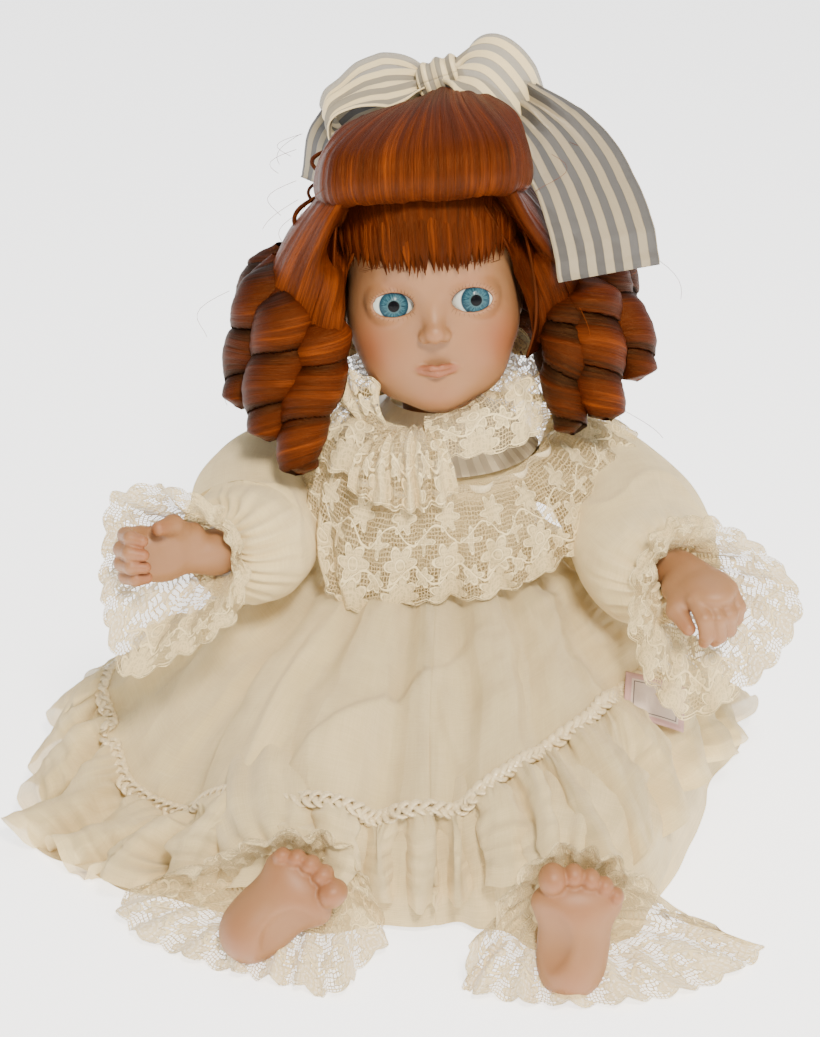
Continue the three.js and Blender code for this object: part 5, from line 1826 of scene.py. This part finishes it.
# Swags of the skirt over the lap, seen from above: the crest's two ends, its bow, height and reach.
SWAGS = [
    ((-40, -65), (-80, -140), -5, 5.5, 8),
    ((15, -85), (-75, -140), 8, 6.5, 7),
    ((0, -85), (18, -150), -4, 5.0, 6),
    ((45, -55), (75, -110), 2, 4.5, 9),
    ((-60, -65), (-120, -100), 5, 4.5, 10),
]
CREST_POINTS, CREST_SPACING = 40, 7


def swags(p):
    """The height of the swags at points p, steep on one side of each crest and shallow on the other."""
    total = np.zeros(p.shape[:2])
    for start, end, bow, height, reach in SWAGS:
        straight = unit(vec(*end) - vec(*start))
        across = vec(-straight[1], straight[0])
        t = even(CREST_POINTS)[:, None]
        crest = mix(vec(*start), vec(*end), t) + across * bow * np.sin(math.pi * t)
        run = unit(np.gradient(crest, axis=0))
        for share, point, along in zip(t[:, 0], crest, run):
            off = p[..., :2] - point
            beside = off[..., 0] * along[1] - off[..., 1] * along[0]
            near = np.exp(-((off * along).sum(-1) / CREST_SPACING) ** 2)
            rise = np.exp(-(beside / np.where(beside > 0, reach * 0.55, reach * 1.7)) ** 2)
            total = np.maximum(total, height * near * rise * math.sin(math.pi * (0.12 + 0.78 * share)))
    return total


def skirt():
    top = [[vec(*q) for q in g[:4]] for g in SKIRT]
    p = drape(top, 720, 110, True)
    p = pleats(p, 13, 5.2, 151, True, 0.40, 0.5, 0.5, 2.2)
    p = p + vec(0, -0.35, 0.94) * swags(p)[..., None]
    n, m = p.shape[:2]
    s, t = np.arange(n)[:, None] / n, even(m)[None]
    gather = np.sin(TAU * (70 * s + 0.7 * cloud(s * 30, t * 2, 152))) * ramp(t, 0.3, 0.0) * 0.7
    p = above_floor(on_legs(p + normals(p, True) * gather[..., None], 3.0), 3)
    uv = cloth_uv(p, 900)
    in_halves("Skirt", p, sheer_voile, uv, "skirt", lambda h: flat_size(h, SKIRT_DEEP))
    return p


def petticoat():
    guides = []
    for waist, a, b, braid, edge in SKIRT:
        waist, a, b, braid, edge = (vec(*q) for q in (waist, a, b, braid, edge))
        inner = mix(braid, edge, 0.55)
        guides.append([waist * vec(0.93, 0.93, 1) - vec(0, 0, 2), a * vec(0.96, 0.96, 1) - vec(0, 0, 5),
            b - vec(0, 0, 5),
                       braid - vec(0, 0, 5), inner - vec(0, 0, 5), mix(braid, edge, 0.92) * vec(1, 1,
                           0) + vec(0, 0, 3)])
    p = pleats(drape(guides, 520, 90, True), 17, 3.2, 161, True, 0.2, 0.8, 0.1, 0.8)
    p = above_floor(on_legs(p, 1.0), 1.2)
    uv = cloth_uv(p, 800)
    in_halves("Petticoat", p, lining, uv, "petticoat", lambda h: flat_size(h, PETTICOAT_DEEP))


def braid(hem):
    """Satin braid sewn over the seam between the skirt and its ruffle: three strands plaited."""
    line = hem[:, -2]
    down = unit(hem[:, -1] - hem[:, -4])
    out = normals(hem, True)[:, -2]
    out = out * np.sign((out * (vec(0, 0, 0.3) + unit(line - vec(0, 0, 40)))).sum(-1))[:, None]
    closed = np.concatenate([line, line[:1]])
    run = np.concatenate([[0], np.cumsum(np.linalg.norm(np.diff(closed, axis=0), axis=1))])
    total = run[-1]
    fine = np.linspace(0, total, 2600)

    def along(v):
        v = np.concatenate([v, v[:1]])
        return np.stack([np.interp(fine, run, v[:, k]) for k in range(3)], -1)

    line, down, out = along(line), unit(along(down)), unit(along(out))
    half = np.searchsorted(fine, run[len(hem) // 2])
    for label, part in (("left", slice(0, half + 1)), ("right", slice(half, None))):
        parts, uvs = [], []
        for strand in range(3):
            turn = fine[part] * TAU / 12.5 + strand * TAU / 3
            path = line[part] + down[part] * (2.9 * np.sin(turn))[:,
                None] + out[part] * (1.5 + 0.7 * np.sin(2 * turn))[:, None]
            p, f = tube(path, np.full(len(path), 1.75), 8, 0.5, vec(0.1, 0.2, 1))
            parts.append((p, f))
            uvs.append(np.stack(np.broadcast_arrays(fine[part][:, None], np.arange(8)[None] * 0.8),
                -1).reshape(-1, 2))
        side = 1 if label == "left" else -1
        made = joined(f"Hem_braid_{label}", parts, narrow_satin, uvs)
        dress(made, ("torso", f"leg_{label}", (0, 0, 0), (side * 46, -128, 0)), ["hem_braid"])


def ruffle(hem):
    """The gathered ruffle below the braid."""
    n = len(hem)
    edge = curve(np.array([vec(*g[4]) for g in SKIRT]), np.arange(n) / n, True)
    top = hem[:, -1]
    t = even(44)
    puff = normals(hem, True)[:, -1]
    puff = puff * np.sign((puff * vec(0, 0, 1)).sum(-1))[:, None]
    p = mix(top[:, None], edge[:, None], t[None, :, None])
    p = p + puff[:, None] * (5 * np.sin(math.pi * t**0.7))[None, :, None]
    p = pleats(p, 30, 13.5, 171, True, 0.14, 0.6, 0.7, 1.4)
    s = np.arange(n)[:, None] / n
    gather = np.sin(TAU * (150 * s + 0.8 * cloud(s * 60, t[None] * 2, 172))) * ramp(t[None], 0.35, 0.0) * 0.7
    out = unit((edge - top) * vec(1, 1, 0))[:, None]
    ripple = 4.0 * np.sin(TAU * (22 * s + 0.9 * cloud(s * 11, 0 * t[None], 173))) * t[None] ** 1.6
    p = p + out * ripple[..., None] + vec(0, 0, 0.5) * np.abs(ripple)[..., None]
    p = above_floor(p + normals(p, True) * gather[..., None] + vec(0, 0, 4) * t[None, :, None], 1.5)
    uv = cloth_uv(p, 1500)
    in_halves("Hem_ruffle", p, sheer_voile, uv, "hem_ruffle", lambda h: flat_size(h, RUFFLE_DEEP))


hem = skirt()
petticoat()
braid(hem)
ruffle(hem)


# ---- pantaloons and ankle lace
PANTALOONS = {
    "left": ([(30, -30, 34), (44, -70, 34), (56, -112, 32), (60, -150, 31), (54, -176, 28), (51, -188, 27)],
             [(0, 30, 27), (0.3, 34, 26), (0.6, 35, 27), (0.8, 29, 25), (0.94, 17, 17), (1, 14, 14)]),
    "right": ([(-30, -30, 34), (-44, -66, 34), (-54, -104, 32), (-58, -138, 31), (-57, -162, 28),
        (-57, -172, 27)],
              [(0, 30, 27), (0.3, 34, 26), (0.6, 33, 26), (0.8, 27, 23), (0.94, 17, 17), (1, 14, 14)]),
}
for k, (label, (path, sizes)) in enumerate(PANTALOONS.items()):
    p = pleats(swept(path, sizes, 240, 90), 13, 1.6, 181 + k, True, 0.6, 1.0, 0.1, 0.9)
    p = above_floor(p, 2.0)
    made = sheet_mesh(f"Pantaloon_{label}", p, lining, cloth_uv(p), True)
    dress(made, f"leg_{label}", [f"pantaloon_{label}"], flat_size(p, PANTALOON_DEEP))

ANKLES = {
    "left": ((51, -190, 27), (0.03, -1, 0.03), [
        (50, -200, 60), (66, -202, 56), (80, -198, 42), (100, -190, 18), (128, -188, 4), (106, -208, 3),
        (78, -219, 3), (48, -222, 3), (24, -217, 3), (10, -210, 4), (20, -206, 28), (34, -203, 52),
    ]),
    "right": ((-57, -174, 27), (-0.1, -1, 0.05), [
        (-52, -184, 54), (-36, -178, 46), (-26, -176, 26), (-20, -182, 6), (-38, -214, 3), (-56, -209, 3),
        (-76, -202, 3), (-100, -190, 3), (-122, -174, 4), (-126, -154, 8), (-98, -172, 28), (-76, -184, 48),
    ]),
}
for k, (label, (centre, axis, rim)) in enumerate(ANKLES.items()):
    ring = ring_round(centre, axis, 14.5, (0, 0, 1), len(rim))
    away = unit(vec(*axis))
    handed = np.cross(vec(*ring[0]) - centre, vec(*ring[1]) - centre) @ away
    turning = np.cross(vec(*rim[0]) - centre, vec(*rim[1]) - centre) @ away
    if handed * turning < 0:
        ring = ring[:1] + ring[:0:-1]
    p, made = flare(f"Ankle_lace_{label}", ring, rim, 52, 16, 191 + k, 3.2, 4, (0, 0, 1))
    dress(made, f"leg_{label}", [f"ankle_ruffle_{label}"], flat_size(p, WIDE_LACE))


# ---- hang tag
def tag_finish():
    def build(s):
        x, y, _ = s.apart(s.uv())
        inset = s.math("MINIMUM", s.math("MINIMUM", x, s.minus(27.0, x)),
            s.math("MINIMUM", y, s.minus(22.0, y)))
        fibre = s.noise(s.uv(), 1.5, 4.0)
        pink = s.blend(fibre, (0.52, 0.30, 0.27, 1), (0.62, 0.38, 0.34, 1))
        cream = s.blend(fibre, (0.62, 0.50, 0.42, 1), (0.72, 0.60, 0.51, 1))
        panel = s.step(inset, 2.6, 2.9)
        rule = s.times(s.step(inset, 3.6, 3.7), s.step(inset, 4.15, 4.05))
        colour = s.blend(rule, s.blend(panel, pink, cream), (0.12, 0.09, 0.09, 1))
        return {"Base Color": colour, "Height": fibre, "Depth": 0.0001}

    return finish_of("Pink card", {"Roughness": 0.55}, build)


def hang_tag():
    """A small pink card that lies on the ruffle below the doll's left cuff."""
    corner, wide, tall = vec(79, -101, 59), unit(vec(0.95, 0.02, -0.30)), unit(vec(0.10, 0.78, 0.45))
    s, t = even(16), even(14)
    out = unit(np.cross(wide, tall))
    curl = 1.2 * np.sin(math.pi * s)[:, None] * np.ones(14)[None]
    p = corner + wide * (s[:, None, None] * 27) + tall * (t[None, :, None] * 22) + out * curl[..., None]
    uv = np.stack(np.meshgrid(s * 27, t * 22, indexing="ij"), -1)
    made = cloth("Hang_tag", p, tag_finish(), uv, 0.4)
    dress(made, ("torso", "leg_left", (0, 0, 0), (46, -128, 0)), ["hang_tag"])


hang_tag()


# ---- hidden fittings
def steel_finish():
    def build(s):
        place = s.node("ShaderNodeNewGeometry").outputs["Position"]
        drawn = s.noise(s.scaled(place, 900.0, 90.0), 1.0, 3.0)
        stain = s.noise(place, 160.0, 2.0)
        tone = s.blend(stain, (0.30, 0.29, 0.27, 1), (0.46, 0.45, 0.43, 1))
        return {"Base Color": tone, "Height": drawn, "Depth": 0.00004}

    return finish_of("Drawn steel wire", {"Metallic": 1.0, "Roughness": 0.36}, build)


steel = steel_finish()
FITTINGS = {"shoulder_plate": bisque, "neck_spring": steel, "neck_hook": steel, "bow_clip": steel,
    "arm_tie_left": steel,
            "arm_tie_right": steel, "leg_tie_left": steel, "leg_tie_right": steel}
for node, finish in FITTINGS.items():
    fitting = bpy.data.objects[node]
    fitting.data.materials.clear()
    fitting.data.materials.append(finish)


# ---- floor, light and camera
def floor():
    pale = paint_finish("Pale floor", (0.93, 0.93, 0.93), 0.9)
    pale.node_tree.nodes["Principled BSDF"].inputs["Emission Color"].default_value = (1, 1, 1, 1)
    pale.node_tree.nodes["Principled BSDF"].inputs["Emission Strength"].default_value = 2.2
    made = mesh("Floor", [(-40000, -40000, 0), (40000, -40000, 0), (40000, 40000, 0), (-40000, 40000, 0)],
        [(0, 1, 2, 3)],
                pale, shade=False)
    made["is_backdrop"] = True


def lamp(name, place, size, power, colour=(1, 1, 1)):
    data = bpy.data.lights.new(name, "AREA")
    data.size, data.energy, data.color = size, power, colour
    made = bpy.data.objects.new(name, data)
    made.location = place
    made.rotation_euler = (Vector((0, 0, 0.14)) - Vector(place)).to_track_quat("-Z", "Y").to_euler()
    bpy.context.scene.collection.objects.link(made)


floor()
lamp("Key", (0.22, -1.1, 1.25), 0.28, 38, (1.0, 0.90, 0.78))
lamp("Fill", (1.3, -0.7, 0.9), 1.2, 8)
lamp("Top", (0.1, 0.5, 1.6), 1.2, 10)
world = bpy.data.worlds.new("Studio")
world.use_nodes = True
world.node_tree.nodes["Background"].inputs["Color"].default_value = (0.98, 0.98, 1.0, 1)
world.node_tree.nodes["Background"].inputs["Strength"].default_value = 0.6
bpy.context.scene.world = world

lens = bpy.data.cameras.new("Camera")
lens.lens, lens.sensor_width, lens.clip_start = 77.07, 36, 0.05
camera = bpy.data.objects.new("Camera", lens)
AIM, ELEVATION, FAR = Vector((-0.010, 0, 0.103)), math.radians(25), 1.0
camera.location = AIM + Vector((0, -math.cos(ELEVATION), math.sin(ELEVATION))) * FAR
camera.rotation_euler = (AIM - camera.location).to_track_quat("-Z", "Y").to_euler()
bpy.context.scene.collection.objects.link(camera)
bpy.context.scene.camera = camera

low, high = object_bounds()
{"cad": [list(cad_low), list(cad_high)], "visual": [list(low), list(high)]}
